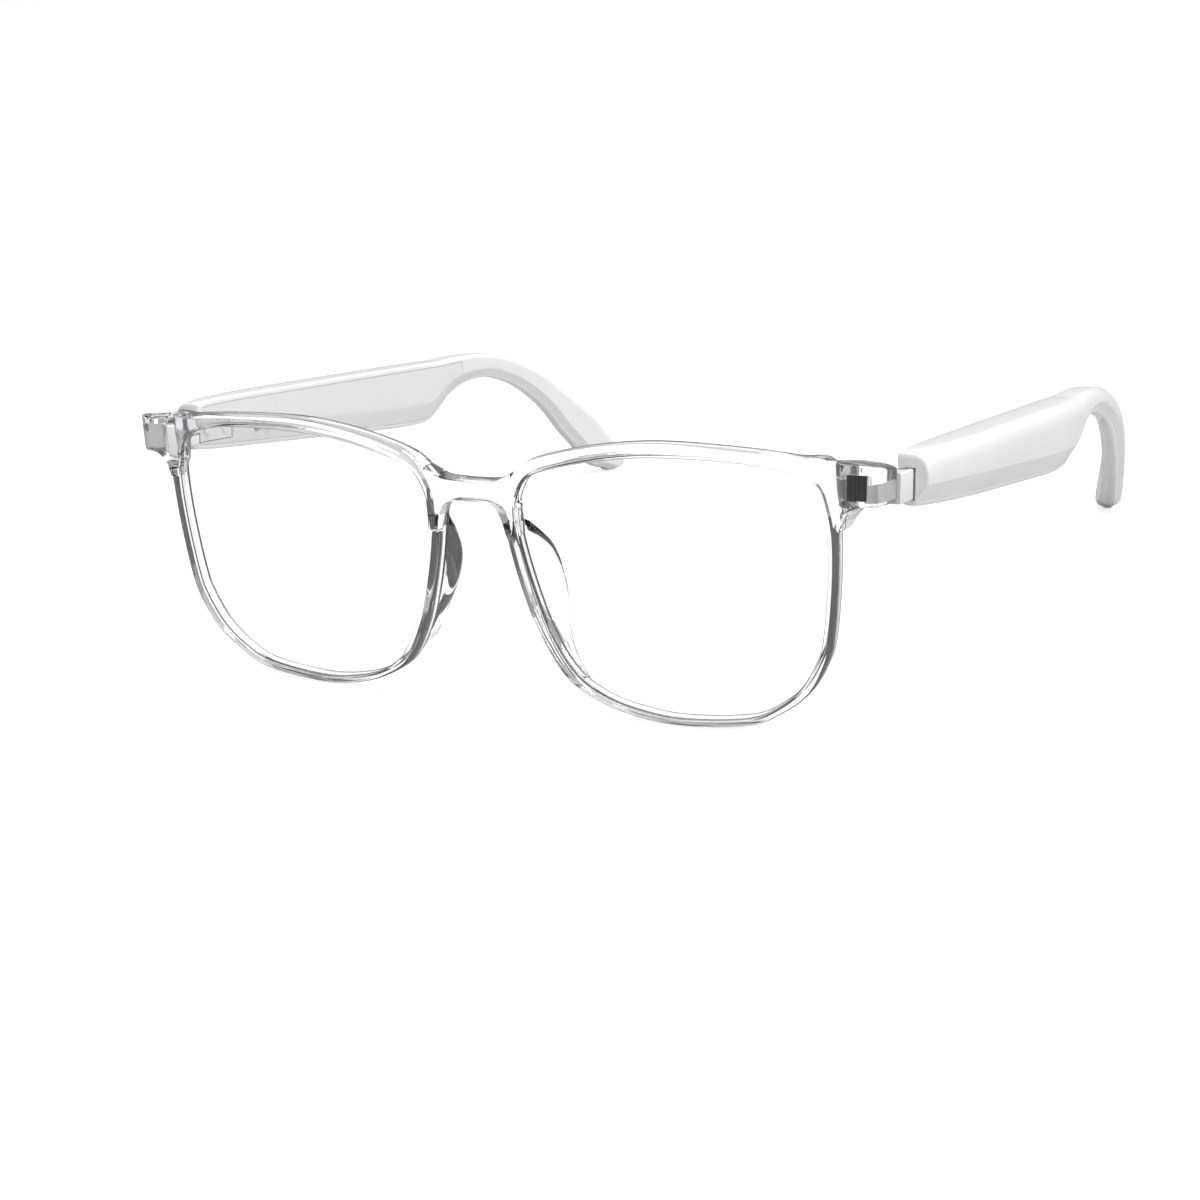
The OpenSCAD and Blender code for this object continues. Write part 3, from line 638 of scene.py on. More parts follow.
def rim_rings():
    """The rim's section carried round the opening.

    Each section point is a distance out from the opening's edge, or in from the rim's outer edge, and a
    depth: a softly rounded front, a rounder outer edge, the back, and the groove that holds the lens.
    """
    f = bpy.context.scene.glasses_front
    inner, outer = rim_curves()
    across = outer - inner
    width = np.linalg.norm(across, axis=1, keepdims=True)
    across /= width
    depth = f.rim_depth
    lens_y = (depth - f.lens_t) / 2
    out_r, in_r = f.rim_round, 0.3
    front_in = corner(in_r, 1)
    front_out = corner(out_r, -1)
    back_out = corner(out_r, 1) * [1, -1] + [0, depth]
    back_in = corner(in_r, -1) * [1, -1] + [0, depth]
    groove = np.array([[0, lens_y + f.lens_t + 0.04], [f.groove + 0.06, lens_y + f.lens_t + 0.04],
                       [f.groove + 0.06, lens_y - 0.04], [0, lens_y - 0.04]])
    # The outer rounding is less on narrow stretches, and fades out where the bridge runs into the rim.
    off_bridge = 1 - np.clip((outer[:, 1] - 1.5) / 2.5, 0, 1) * np.clip((10.5 - outer[:, 0]) / 2, 0, 1)
    soft = (np.clip(width[:, 0] / 2.3, 0.5, 1) * np.maximum(off_bridge, 0.12))[:, None, None]
    parts = []
    for from_inner, rows in ((True, front_in), (False, front_out), (False, back_out), (True, back_in),
                             (True, groove)):
        base, sign = (inner, 1) if from_inner else (outer, -1)
        share = 1 if from_inner else soft
        place = base[:, None] + sign * across[:, None] * rows[None, :, :1] * share
        deep = np.broadcast_to(rows[None, :, 1:], place.shape[:2] + (1,))
        parts.append(np.concatenate([place[..., :1], deep, place[..., 1:]], -1))
    return np.concatenate(parts, 1)


def bridge_rings():
    """The bridge bar: rounded sections carried across, whose top and bottom follow smooth curves.

    Towards each rim the top rises to meet the rim's own edge, and the bottom falls into the nose side's edge.
    """
    f = bpy.context.scene.glasses_front
    top, low = f.bridge_top, f.bridge_top - f.bridge_h
    nose = f.bridge_gap / 2
    half = catmull([(0, top, low), (2.6, top + 0.02, low - 0.1), (4.0, top + 0.1, low - 0.5),
                    (5.0, top + 0.25, low - 1.2), (5.7, top + 0.5, low - 2.3), (6.2, top + 0.75, low - 3.9),
                    (6.6, top + 0.95, low - 5.6), (7.3, top + 1.3, low - 6.6), (nose, top + 1.75, low - 5.6)],
                   8, closed=False)
    line = np.vstack([half[:0:-1] * [-1, 1, 1], half])
    x, z1, z0 = line[:, 0], line[:, 1], line[:, 2]
    swept = np.sqrt(x**2 + 1)
    front = swept * math.tan(f.wrap) + 0.01
    back = front + f.rim_depth + 0.35 * np.clip(1.6 - np.abs(x) / 5, 0, 1)
    return tilted(rounded_sections(x, front, back, z0, z1, 0.4))


def rounded_sections(x, y0, y1, z0, z1, r, count=6):
    """Rings at each x: rectangles from (y0, z0) to (y1, z1) with corners rounded by r."""
    a = np.linspace(0, math.pi / 2, count)
    x, y0, y1, z0, z1 = (np.asarray(v, float).reshape(-1, 1) * np.ones((len(x), 1)) for v in (x, y0, y1, z0, z1))
    r = np.minimum(np.asarray(r, float).reshape(-1, 1), 0.49 * np.minimum(y1 - y0, z1 - z0))
    corners = ((y1 - r, z1 - r, 0), (y0 + r, z1 - r, 1), (y0 + r, z0 + r, 2), (y1 - r, z0 + r, 3))
    y = np.concatenate([cy + r * np.cos(a + k * math.pi / 2) for cy, cz, k in corners], 1)
    z = np.concatenate([cz + r * np.sin(a + k * math.pi / 2) for cy, cz, k in corners], 1)
    return np.stack([np.broadcast_to(x, y.shape), y, z], -1)


def end_values():
    """Places of the endpiece: its outer side, its top and low edges, and its front, in the worn frame."""
    f = bpy.context.scene.glasses_front
    end_x = f.bridge_gap / 2 + f.lens_w + f.end_w
    top_in_plane = f.lens_h / 2 - f.lens_drop + 1.3
    top = top_in_plane * math.cos(f.tilt) + end_x * math.sin(f.wrap) * math.sin(f.tilt)
    front = end_x * math.sin(f.wrap) * math.cos(f.tilt) - (top_in_plane - 3) * math.sin(f.tilt)
    return end_x, top, top - f.end_h, front


def endpiece_rings():
    """The endpiece: sections carried outwards, with a rounded front corner and a fillet down to the rim."""
    f = bpy.context.scene.glasses_front
    end_x, top, low, front = end_values()
    corner_r, edge_r, fillet = 3.0, 0.55, 4.3
    round_x = end_x - corner_r
    turn = np.linspace(0, math.pi / 2, 14)
    inner_x = end_x - f.end_w + 0.5
    x = np.concatenate([np.linspace(inner_x, round_x, 24)[:-1], round_x + corner_r * np.sin(turn)])
    y0 = front + corner_r - np.sqrt(np.maximum(corner_r**2 - np.maximum(x - round_x, 0) ** 2, 0))
    y0 -= np.maximum(round_x - x, 0) * math.tan(f.wrap)
    ramp = np.clip((x - inner_x) / 2.4, 0, 1)
    y1 = y0[0] + 3.2 + (f.end_back - y0[0] - 3.2) * ramp**2 * (3 - 2 * ramp)
    fillet_x = end_x - f.end_w + 6.2
    rise = np.clip(fillet_x - x, 0, fillet)
    z0 = low - (fillet - np.sqrt(np.maximum(fillet**2 - rise**2, 0)))
    z1 = top - 0.5 - 0.5 * (x - inner_x) / (end_x - inner_x) - 0.5 * (np.maximum(x - round_x, 0) / corner_r) ** 2
    inset = edge_r - np.sqrt(np.maximum(edge_r**2 - np.maximum(x - (end_x - edge_r), 0) ** 2, 0))
    y0 = np.minimum(y0 + inset, y1 - 1.5)
    rings = rounded_sections(x, y0, y1 - inset, z0 + inset, z1 - inset, edge_r)
    share = (rings[..., 1] - front) / (f.end_back - front)
    rings[..., 1] -= np.clip(1 - share, 0, 1) * (rings[..., 2] - (top - 3)) * math.tan(f.tilt)
    rings[..., 2] -= np.clip(share, 0, 1) * 0.9 * (rings[..., 2] - low) / f.end_h
    return rings


def lug_rings():
    """The hinge lug: an upright bar with a round end about the pin, its top and bottom edges rounded."""
    f = bpy.context.scene.glasses_front
    t = bpy.context.scene.glasses_temple
    pin_x = JOINT["fold_left"]["pos_m"][0] / MM
    r, edge = f.lug_w / 2, 0.3
    low = t.pin_z - f.lug_h / 2
    a = np.linspace(0, math.pi, 25)
    turn = np.linspace(0, math.pi / 2, 5)
    inset = np.concatenate([edge - edge * np.sin(turn), (edge - edge * np.sin(turn))[::-1]])
    z = np.concatenate([low + edge - edge * np.cos(turn), low + f.lug_h - (edge - edge * np.cos(turn))[::-1]])
    rr = (r - inset)[:, None]
    x = np.concatenate([pin_x + rr * np.cos(a), pin_x - rr, pin_x + rr], 1)
    y = np.concatenate([t.pin_y + rr * np.sin(a), np.full_like(rr, f.end_back + 0.03),
                        np.full_like(rr, f.end_back + 0.03)], 1)
    return np.stack([x, y, np.broadcast_to(z[:, None], x.shape)], -1)


def lens_rings(side):
    """A lens: rings shrinking to the middle on both faces, which curve forward, joined by its edge."""
    f = bpy.context.scene.glasses_front
    inner, outer = rim_curves()
    across = outer - inner
    across /= np.linalg.norm(across, axis=1, keepdims=True)
    edge = inner + across * f.groove
    middle = edge.mean(0)
    shares = np.sin(np.linspace(0, math.pi / 2, 14))[1:]
    lens_y = (f.rim_depth - f.lens_t) / 2
    bend = f.bulge * (1 - shares**2)
    flat = middle + (edge - middle)[None] * shares[:, None, None]
    front = np.concatenate([flat[..., :1], np.broadcast_to((lens_y - bend)[:, None, None], flat.shape[:2] + (1,)),
                            flat[..., 1:]], -1)
    back = front + [0, f.lens_t, 0]
    return on_front(np.concatenate([front, back[::-1]]), side)


# Sections across a nose pad, from its top down: height, x of its root on the rim, x of its bulge towards the
# nose, and x and depth of its rear edge, in the plane of one half of the front.
PAD_ROWS = [
    (4.5, 7.7, 7.2, 8.3, 4.1), (4.1, 7.7, 6.9, 8.7, 4.7), (2.6, 7.8, 6.5, 9.8, 5.6), (0.2, 8.0, 5.8, 11.1, 7.0),
    (-2.2, 8.4, 5.6, 11.65, 8.0), (-5, 9.0, 6.2, 12.0, 8.8), (-8, 9.8, 7.3, 12.4, 9.0),
    (-10.6, 10.6, 8.8, 12.7, 8.8), (-13.8, 11.9, 10.9, 13.0, 8.0), (-16.8, 13.3, 12.6, 13.9, 6.9),
    (-19, 14.6, 14.0, 15.1, 5.8), (-21, 16.2, 15.7, 16.6, 4.8), (-22.2, 17.4, 17.0, 17.7, 4.1)]


def pad_rings(side):
    """A nose pad: closed smooth sections stacked downwards, each a flared plate that bulges towards the nose."""
    f = bpy.context.scene.glasses_front
    z, root, nose, edge, reach = catmull(PAD_ROWS, 6, closed=False).T
    base = f.rim_depth + 0.02
    span = reach - base
    half = np.minimum(0.95, span * 0.35)
    middle_x, middle_y = (nose + edge) / 2, base + span * 0.66
    points = np.stack([
        np.stack([root - 0.8, np.full_like(z, base)], 1),
        np.stack([nose, base + span * 0.33], 1),
        np.stack([middle_x - half * 0.8, middle_y + half * 0.8], 1),
        np.stack([edge, reach], 1),
        np.stack([edge + 0.15, reach - half * 1.1], 1),
        np.stack([middle_x + half, middle_y - half * 1.1], 1),
        np.stack([root + 0.9, base + span * 0.2], 1),
        np.stack([root + 0.9, np.full_like(z, base)], 1)])
    ring = catmull(points.reshape(len(points), -1), 5).reshape(-1, len(z), 2).transpose(1, 0, 2)
    ring[..., 1] = np.maximum(ring[..., 1], base)
    return on_front(np.stack([ring[..., 0], ring[..., 1], np.broadcast_to(z[:, None], ring.shape[:2])], -1), side)


# ---------------------------------------------------------------- the temples' shapes

# Ribs across the side view: (s, z) of the top edge and (s, z) of the low edge, in mm.
RIBS = [
    (0, 17.8, 0, 10.5), (1.2, 18.4, 1.2, 9.9), (9, 18.85, 9, 9.3), (30, 18.95, 30, 8.3), (50, 19, 50, 7.4),
    (64, 19, 64, 6.8), (71, 19, 71, 6.8), (75, 19, 75.2, 7.3), (78.5, 19, 79, 9.4), (82, 19.15, 82.5, 11.7),
    (86, 19.3, 87, 13.3), (91, 19.35, 92, 14.05), (96.5, 19, 97, 14.0), (102.5, 18.1, 102.6, 12.9),
    (109, 16.1, 107.8, 11.2), (115.5, 13.4, 113.4, 8.3), (121.5, 9.7, 118.5, 4.6), (127.5, 5.6, 123.2, -0.2),
    (132.5, 1.3, 126.8, -3.6), (136.3, -3.2, 129.8, -6.9), (138.5, -6.4, 132.3, -8.7), (139.1, -8.2, 135.3, -9.6)]
RIB_STEPS = 8


def temple_ribs():
    """The ribs' ends along the whole temple, as curves: one row is (s, z) at the top and at the low edge."""
    t = bpy.context.scene.glasses_temple
    ribs = catmull(RIBS, RIB_STEPS, closed=False)
    hook_from = 91.0
    for column in (0, 2):
        s = ribs[:, column]
        ribs[:, column] = np.where(s < hook_from, s * t.body_l / hook_from,
                                   t.body_l + (s - hook_from) * t.hook_l / 48.4)
    return ribs


def thickness(s):
    """A temple's thickness at s: it swells over the electronics and narrows into the hook."""
    t = bpy.context.scene.glasses_temple
    rise = t.front_t + (t.body_t - t.front_t) * np.sin(np.clip(s / (t.body_l * 0.3), 0, 1) * math.pi / 2)
    fall = np.clip((s - t.body_l * 0.7) / (t.body_l * 0.3 + 20), 0, 1)
    return rise - (t.body_t - t.hook_t) * (1 - np.cos(fall * math.pi)) / 2


def inward(s):
    """How far the hook has curved inwards at s: it grows with the cube of the distance past the body."""
    t = bpy.context.scene.glasses_temple
    return t.hook_in * (np.maximum(s - t.body_l, 0) / t.hook_l) ** 3


def quarter(cu, ch, ru, rh, a0, a1, count):
    """An elliptical arc for every section at once, as (u, h)."""
    a = np.radians(np.linspace(a0, a1, count))
    return np.stack([cu[:, None] + ru[:, None] * np.cos(a), ch[:, None] + rh[:, None] * np.sin(a)], -1)


def straight(u0, h0, u1, h1, count, dome=0.0):
    """A straight run for every section at once, domed outwards to its right by dome in its middle."""
    k = np.linspace(0, 1, count + 2)[1:-1]
    run = np.stack([u0[:, None] + (u1 - u0)[:, None] * k, h0[:, None] + (h1 - h0)[:, None] * k], -1)
    across = np.stack([-(h1 - h0), u1 - u0], -1)
    across /= np.linalg.norm(across, axis=1, keepdims=True)
    return run + across[:, None] * (dome * 4 * k * (1 - k))[None, :, None]


def temple_sections(height, thick, hook):
    """A temple's cross-sections, counter to the clock from the inner top: (u, h), h up from the low edge.

    The top is slightly domed and rolls over into a gently domed outer face. Both faces break at a crease
    above the low edge and slant towards each other to a rounded bottom.
    """
    zero = np.zeros_like(height)
    mix = lambda body, end: body + (end - body) * hook
    inner_r = mix(0.45, 1.3)
    roll_u = np.minimum(mix(2.6, 1.7), thick * 0.5)
    roll_h = np.minimum(mix(3.0, 1.9), height * 0.45)
    crease = np.minimum(mix(4.2, 1.9), height * 0.42)
    slant = np.minimum(mix(2.1, 1.2), thick * 0.35)
    low_r = mix(0.9, 0.9)
    inner_slant = mix(0.9, 1.0)
    parts = [
        quarter(inner_r, height - inner_r, inner_r, inner_r, 180, 90, 7),
        straight(inner_r, height, thick - roll_u, height, 4, 0.06),
        quarter(thick - roll_u, height - roll_h, roll_u, roll_h, 90, 0, 14),
        straight(thick, height - roll_h, thick, crease, 7, 0.06),
        np.stack([thick, crease], -1)[:, None],
        straight(thick, crease, thick - slant, low_r, 5, 0.03),
        quarter(thick - slant - low_r * 0.9, low_r, low_r * 0.9, low_r, 0, -90, 7),
        straight(thick - slant - low_r * 0.9, zero, inner_slant + low_r * 0.6, zero, 3, 0.05),
        quarter(inner_slant + low_r * 0.6, low_r * 0.6, low_r * 0.6, low_r * 0.6, 270, 180, 6),
        straight(inner_slant, low_r * 0.6, zero + 0.03, crease - 0.2, 4),
        np.stack([np.stack([zero + 0.03, crease - 0.2], -1), np.stack([zero, crease + 0.2], -1)], 1),
        straight(zero, crease + 0.2, zero, height - inner_r, 5),
    ]
    return np.concatenate(parts, 1)


def temple_rings(side):
    """The temple's surface: sections stood on the ribs, shrunk round at the front end and at the tip."""
    t = bpy.context.scene.glasses_temple
    ribs = temple_ribs()
    edge = 0.4
    turn = np.linspace(0, math.pi / 2, 5)
    starts = edge * (1 - np.cos(turn))
    ribs = ribs[ribs[:, 0] > edge + 0.2]
    first = np.stack([np.interp(starts, temple_ribs()[:, 0], temple_ribs()[:, k]) for k in range(4)], 1)
    ribs = np.vstack([first, ribs])
    inset = np.zeros(len(ribs))
    inset[:len(starts)] = edge * (1 - np.sin(turn))
    tip = np.linspace(0, math.pi / 2, 9)[1:]
    last = ribs[-1]
    across = np.array([last[1] - last[3], last[2] - last[0]])
    across /= -np.linalg.norm(across) * np.sign(across[1])
    across = -across if across[1] > 0 else across
    reach = 0.9 * np.sin(tip)[:, None]
    ends = np.hstack([last[:2] + across * reach, last[2:] + across * reach])
    middle = (ends[:, :2] + ends[:, 2:]) / 2
    shrink = np.maximum(np.cos(tip), 0.04)[:, None]
    ends = np.hstack([middle + (ends[:, :2] - middle) * (0.35 + 0.65 * shrink),
                      middle + (ends[:, 2:] - middle) * (0.35 + 0.65 * shrink)])
    top, low = np.vstack([ribs[:, :2], ends[:, :2]]), np.vstack([ribs[:, 2:], ends[:, 2:]])
    height = np.linalg.norm(top - low, axis=1)
    s = (top[:, 0] + low[:, 0]) / 2
    thick = thickness(s)
    hook = np.clip((s - t.body_l * 0.8) / (t.body_l * 0.2 + 12), 0, 1)
    section = temple_sections(height, thick, hook)
    inset = np.concatenate([inset, np.zeros(len(ends))])
    wide = np.concatenate([np.ones(len(ribs)), (0.3 + 0.7 * shrink)[:, 0]])
    centre = thick / 2
    scale_u = (1 - 2 * inset / thick) * wide
    u = centre[:, None] + (section[..., 0] - centre[:, None]) * scale_u[:, None]
    share = section[..., 1] / height[:, None]
    share = 0.5 + (share - 0.5) * (1 - 2 * inset / height)[:, None]
    place = low[:, None] + (top - low)[:, None] * share[..., None]
    u = u - inward(place[..., 0])
    return on_temple(np.concatenate([u[..., None], place], -1), side)


def band(w, s0, s1, more=0.0):
    """The side outline between s0 and s1, moved in by w, and by more along its low edge."""
    ribs = temple_ribs()
    top = offset_line(ribs[:, :2], w)
    low = offset_line(ribs[:, 2:], -w - more)
    ends = []
    for line in (top, low):
        keep = line[(line[:, 0] > s0 + 0.05) & (line[:, 0] < s1 - 0.05)]
        z = np.interp([s0, s1], line[:, 0], line[:, 1])
        ends.append(np.vstack([[s0, z[0]], keep, [s1, z[1]]]))
    return np.vstack([ends[0], ends[1][::-1]])


def temple_piece(name, verts, faces, side):
    """An object from vertices in a temple's own frame."""
    return mesh_object(name, on_temple(np.asarray(verts, float), side), faces)


def side_plate(name, outline, u0, u1, side):
    """A plate of a side outline (s, z), from u0 to u1 in a temple's own frame."""
    verts, faces = prism(outline, u0, u1, 0)
    return temple_piece(name, verts, faces, side)


def temple_block(name, a, b, side):
    verts, faces = block(a, b)
    return temple_piece(name, verts, faces, side)


def pin_in_temple():
    """The pin's place (u, s) in a temple's own frame."""
    t = bpy.context.scene.glasses_temple
    return np.array([1.2 * math.cos(t.toe) - 0.8 * math.sin(t.toe), -1.2 * math.sin(t.toe) - 0.8 * math.cos(t.toe)])


def leaf_places():
    """The hinge leaf's pocket: how far in it reaches, and its two ends along the temple."""
    f = bpy.context.scene.glasses_front
    pin_u, pin_s = pin_in_temple()
    gap, leaf_l, leaf_half = 0.25, 9.5, 0.52
    notch = f.lug_w / 2 + gap + pin_s
    return pin_u + leaf_half, notch, notch + leaf_l


# ---------------------------------------------------------------- making the pieces

def make_front():
    """The clear front in one piece: rims, bridge and endpieces joined."""
    parts = []
    for name, side in SIDES.items():
        rings = on_front(rim_rings(), side)
        rows, cols = rings.shape[:2]
        parts.append(mesh_object(f"rim_{name}", rings.reshape(-1, 3), quads(rows, cols, True)))
        verts, faces = skin(endpiece_rings() * [side, 1, 1])
        parts.append(mesh_object(f"endpiece_{name}", verts, faces))
    verts, faces = skin(bridge_rings())
    front = mesh_object("front_clear", verts, faces)
    cut_or_join(front, parts, "UNION")
    tidy_solid(front)
    finished(front, crystal_plastic(), "front", "clear_frame", "front_frame")


def make_lugs():
    """The white hinge lugs, with a slot for each knuckle that is closed on the outer side."""
    t = bpy.context.scene.glasses_temple
    pin_x = JOINT["fold_left"]["pos_m"][0] / MM
    slot_h, knuckle, far = 1.4, 1.4, 4
    for name, side in SIDES.items():
        verts, faces = skin(lug_rings() * [side, 1, 1])
        lug = mesh_object(f"hinge_lug_{name}", verts, faces)
        verts, faces = block([pin_x - far, t.pin_y - knuckle, t.pin_z - slot_h / 2],
                             [pin_x + knuckle, t.pin_y + far, t.pin_z + slot_h / 2])
        cut_or_join(lug, [mesh_object("slot", verts * [side, 1, 1], faces)], "DIFFERENCE")
        tidy_solid(lug, 30)
        finished(lug, shell_plastic(), "front", "white_shell", "front_frame")


def make_lenses():
    for name, side in SIDES.items():
        verts, faces = skin(lens_rings(side))
        lens = mesh_object(f"lens_{name}_clear", verts, faces)
        tidy_solid(lens)
        finished(lens, lens_plastic(), "front", "lens", f"lens_{name}")


def make_pads():
    for name, side in SIDES.items():
        verts, faces = skin(pad_rings(side))
        pad = mesh_object(f"nose_pad_{name}_clear", verts, faces)
        tidy_solid(pad, 60)
        finished(pad, pad_plastic(), "front", "clear_pad", f"nose_pad_{name}")


def make_shell(name, side):
    """A temple's shell: the lofted body with its cover's recess, rooms, hinge notch and openings cut out."""
    f = bpy.context.scene.glasses_front
    t = bpy.context.scene.glasses_temple
    verts, faces = skin(temple_rings(side))
    shell = mesh_object(f"temple_{name}_shell", verts, faces)
    pin_u = pin_in_temple()[0]
    leaf_in, notch, leaf_end = leaf_places()
    lug_low, lug_high = t.pin_z - f.lug_h / 2 - 0.15, t.pin_z + f.lug_h / 2 + 0.15
    body_low = 6.8
    cutters = [
        side_plate("recess", band(0.9, notch + 0.4, t.body_l - 5), -3, t.cover_t, side),
        side_plate("room", band(t.wall + 0.5, notch + 10.6, t.body_l - 6), t.cover_t - 0.1, 4.4, side),
        side_plate("deep_room", band(t.wall + 0.7, 37.1, 75.5, 1.2), t.cover_t - 0.1, 5.8, side),
        temple_block("notch", [-4, -3, lug_low], [pin_u + f.lug_w / 2 + 0.15, notch, lug_high], side),
        temple_block("pocket", [-4, 0, lug_low + 0.2], [leaf_in, leaf_end + 0.1, lug_high - 0.2], side),
        temple_block("outlet", [2.2, 63.5, body_low - 3], [4.4, 72.5, body_low + t.wall + 3], side),
    ]
    verts, faces = prism(disc((2.6, 14.8), 0.35, 20), 6, 12, 2)
    cutters.append(temple_piece("microphone_hole", verts, faces, side))
    cut_or_join(shell, cutters, "DIFFERENCE")
    tidy_solid(shell, 24)
    finished(shell, shell_plastic(), f"temple_{name}", "white_shell", f"temple_shell_{name}")


def make_cover(name, side):
    """The inner cover: a slice of the temple's own inner face, cut out round the hinge leaf and the contacts."""
    f = bpy.context.scene.glasses_front
    t = bpy.context.scene.glasses_temple
    notch, leaf_end = leaf_places()[1:]
    verts, faces = skin(temple_rings(side))
    cover = mesh_object(f"temple_{name}_cover", verts, faces)
    outline = band(0.9 + t.seam, notch + 0.4 + t.seam, t.body_l - 5 - t.seam)
    cut_or_join(cover, [side_plate("plate", outline, -3, t.cover_t - 0.02, side)], "INTERSECT")
    low, high = t.pin_z - f.lug_h / 2 + 0.05, t.pin_z + f.lug_h / 2 - 0.05
    cutters = [temple_block("pocket", [-4, 0, low], [3, leaf_end + 0.1, high], side)]
    for k, s in enumerate((17.8, 20.8)):
        cutters.append(side_plate(f"contact_{k}", disc((s, t.pin_z - 1), 0.95), -1, 3, side))
    cut_or_join(cover, cutters, "DIFFERENCE")
    tidy_solid(cover)
    finished(cover, cover_plastic(), f"temple_{name}", "white_cover", f"temple_cover_{name}")


def finish_nodes():
    """Gives every CAD node that stays its own finish."""
    for node in frame["nodes"]:
        name = node if isinstance(node, str) else node["name"]
        finish = NODE_FINISHES.get(name) or NODE_FINISHES.get(name.rsplit("_", 1)[0])
        if finish:
            material = finish()
            obj = bpy.data.objects[name]
            for slot in obj.material_slots:
                slot.material = material


# ---------------------------------------------------------------- stage

def floor_material():
    """A pale floor with a faint mottle: it glows a little to the eye, so that it stays paper-white."""
    material, tree, shader = new_material("pale_floor")
    if tree is None:
        return material
    colour = bpy.context.scene.glasses_look.floor
    marks = group_node(tree, "handled_surface",
                       {"Colour": rgba(colour), "Worn colour": rgba([c * 0.985 for c in colour]),
                        "Roughness": 0.7, "Spread": 0.1, "Scale": 8.0})
    path = add_node(tree, "ShaderNodeLightPath").outputs
    place = add_node(tree, "ShaderNodeTexCoord").outputs["Object"]
    # A path that has bounced inside the clear plastic meets a dimmer floor than one that went straight through.
    bounced = math_value(tree, "GREATER_THAN", path["Glossy Depth"], 0.5)
    straight = math_value(tree, "MULTIPLY_ADD", bounced, -0.93, 1.0)
    through = math_value(tree, "MULTIPLY", straight, path["Is Transmission Ray"])
    seen = math_value(tree, "MAXIMUM", path["Is Camera Ray"], through)
    # Its far, rising part also shows pale in what lies flat and shines.
    distance = add_node(tree, "ShaderNodeVectorMath", {0: place}, operation="LENGTH")
    far = math_value(tree, "GREATER_THAN", distance.outputs["Value"], 2.5)
    far_shine = math_value(tree, "MULTIPLY", math_value(tree, "MULTIPLY", far, 0.5), path["Is Glossy Ray"])
    glow = math_value(tree, "MAXIMUM", seen, far_shine)
    dim = math_value(tree, "MULTIPLY", bounced, path["Is Transmission Ray"])
    feed(tree, shader, {"Roughness": marks.outputs["Roughness"], "Specular IOR Level": 0.0,
                        "Emission Color": colour_mix(tree, glow, (0, 0, 0, 1), (1, 1, 1, 1)),
                        "Emission Strength": 0.72,
                        "Base Color": colour_mix(tree, dim, marks.outputs["Colour"], (0.07, 0.07, 0.07, 1))})
    return material


def make_floor():
    """The floor: rings of points about the middle, flat at first and rising as the square of the distance far out."""
    r = np.concatenate([np.linspace(0.004, 3, 60), np.linspace(3.2, 6, 30)])
    a = np.linspace(0, 2 * math.pi, 96, endpoint=False)
    z = 0.25 * np.maximum(r - 3, 0) ** 2
    rings = np.stack([r[:, None] * np.cos(a), r[:, None] * np.sin(a), np.broadcast_to(z[:, None], (len(r), 96))], -1)
    rows, cols = rings.shape[:2]
    middle = np.zeros((1, 3))
    c = np.arange(cols)
    fan = np.stack([np.full(cols, rows * cols), c, (c + 1) % cols], 1)
    mesh = bpy.data.meshes.new("floor")
    mesh.from_pydata(np.vstack([rings.reshape(-1, 3), middle]).tolist(), [],
                     quads(rows, cols)[:, ::-1].tolist() + fan.tolist())
    mesh.shade_smooth()
    floor = bpy.data.objects.new("floor", mesh)
    bpy.context.scene.collection.objects.link(floor)
    mesh.materials.append(floor_material())


def area_light(name, place, target, size, power, colour=(1, 1, 1)):
    """A soft rectangular light at place, turned towards target."""
    data = bpy.data.lights.new(name, "AREA")
    data.shape = "RECTANGLE"
    data.size, data.size_y = size
    data.energy = power
    data.color = colour
    light = bpy.data.objects.new(name, data)
    light.location = place
    light.rotation_euler = (Vector(target) - Vector(place)).to_track_quat("-Z", "Y").to_euler()
    bpy.context.scene.collection.objects.link(light)
    return light


def make_lights():
    middle = (0, 0, 0.02)
    area_light("top", (0.35, 0.15, 1.45), middle, (1.1, 1.1), 19)
    area_light("side", (1.4, -0.15, 0.55), middle, (0.8, 0.6), 7)
    area_light("back", (-0.3, 1.4, 0.7), middle, (1.4, 0.5), 2)


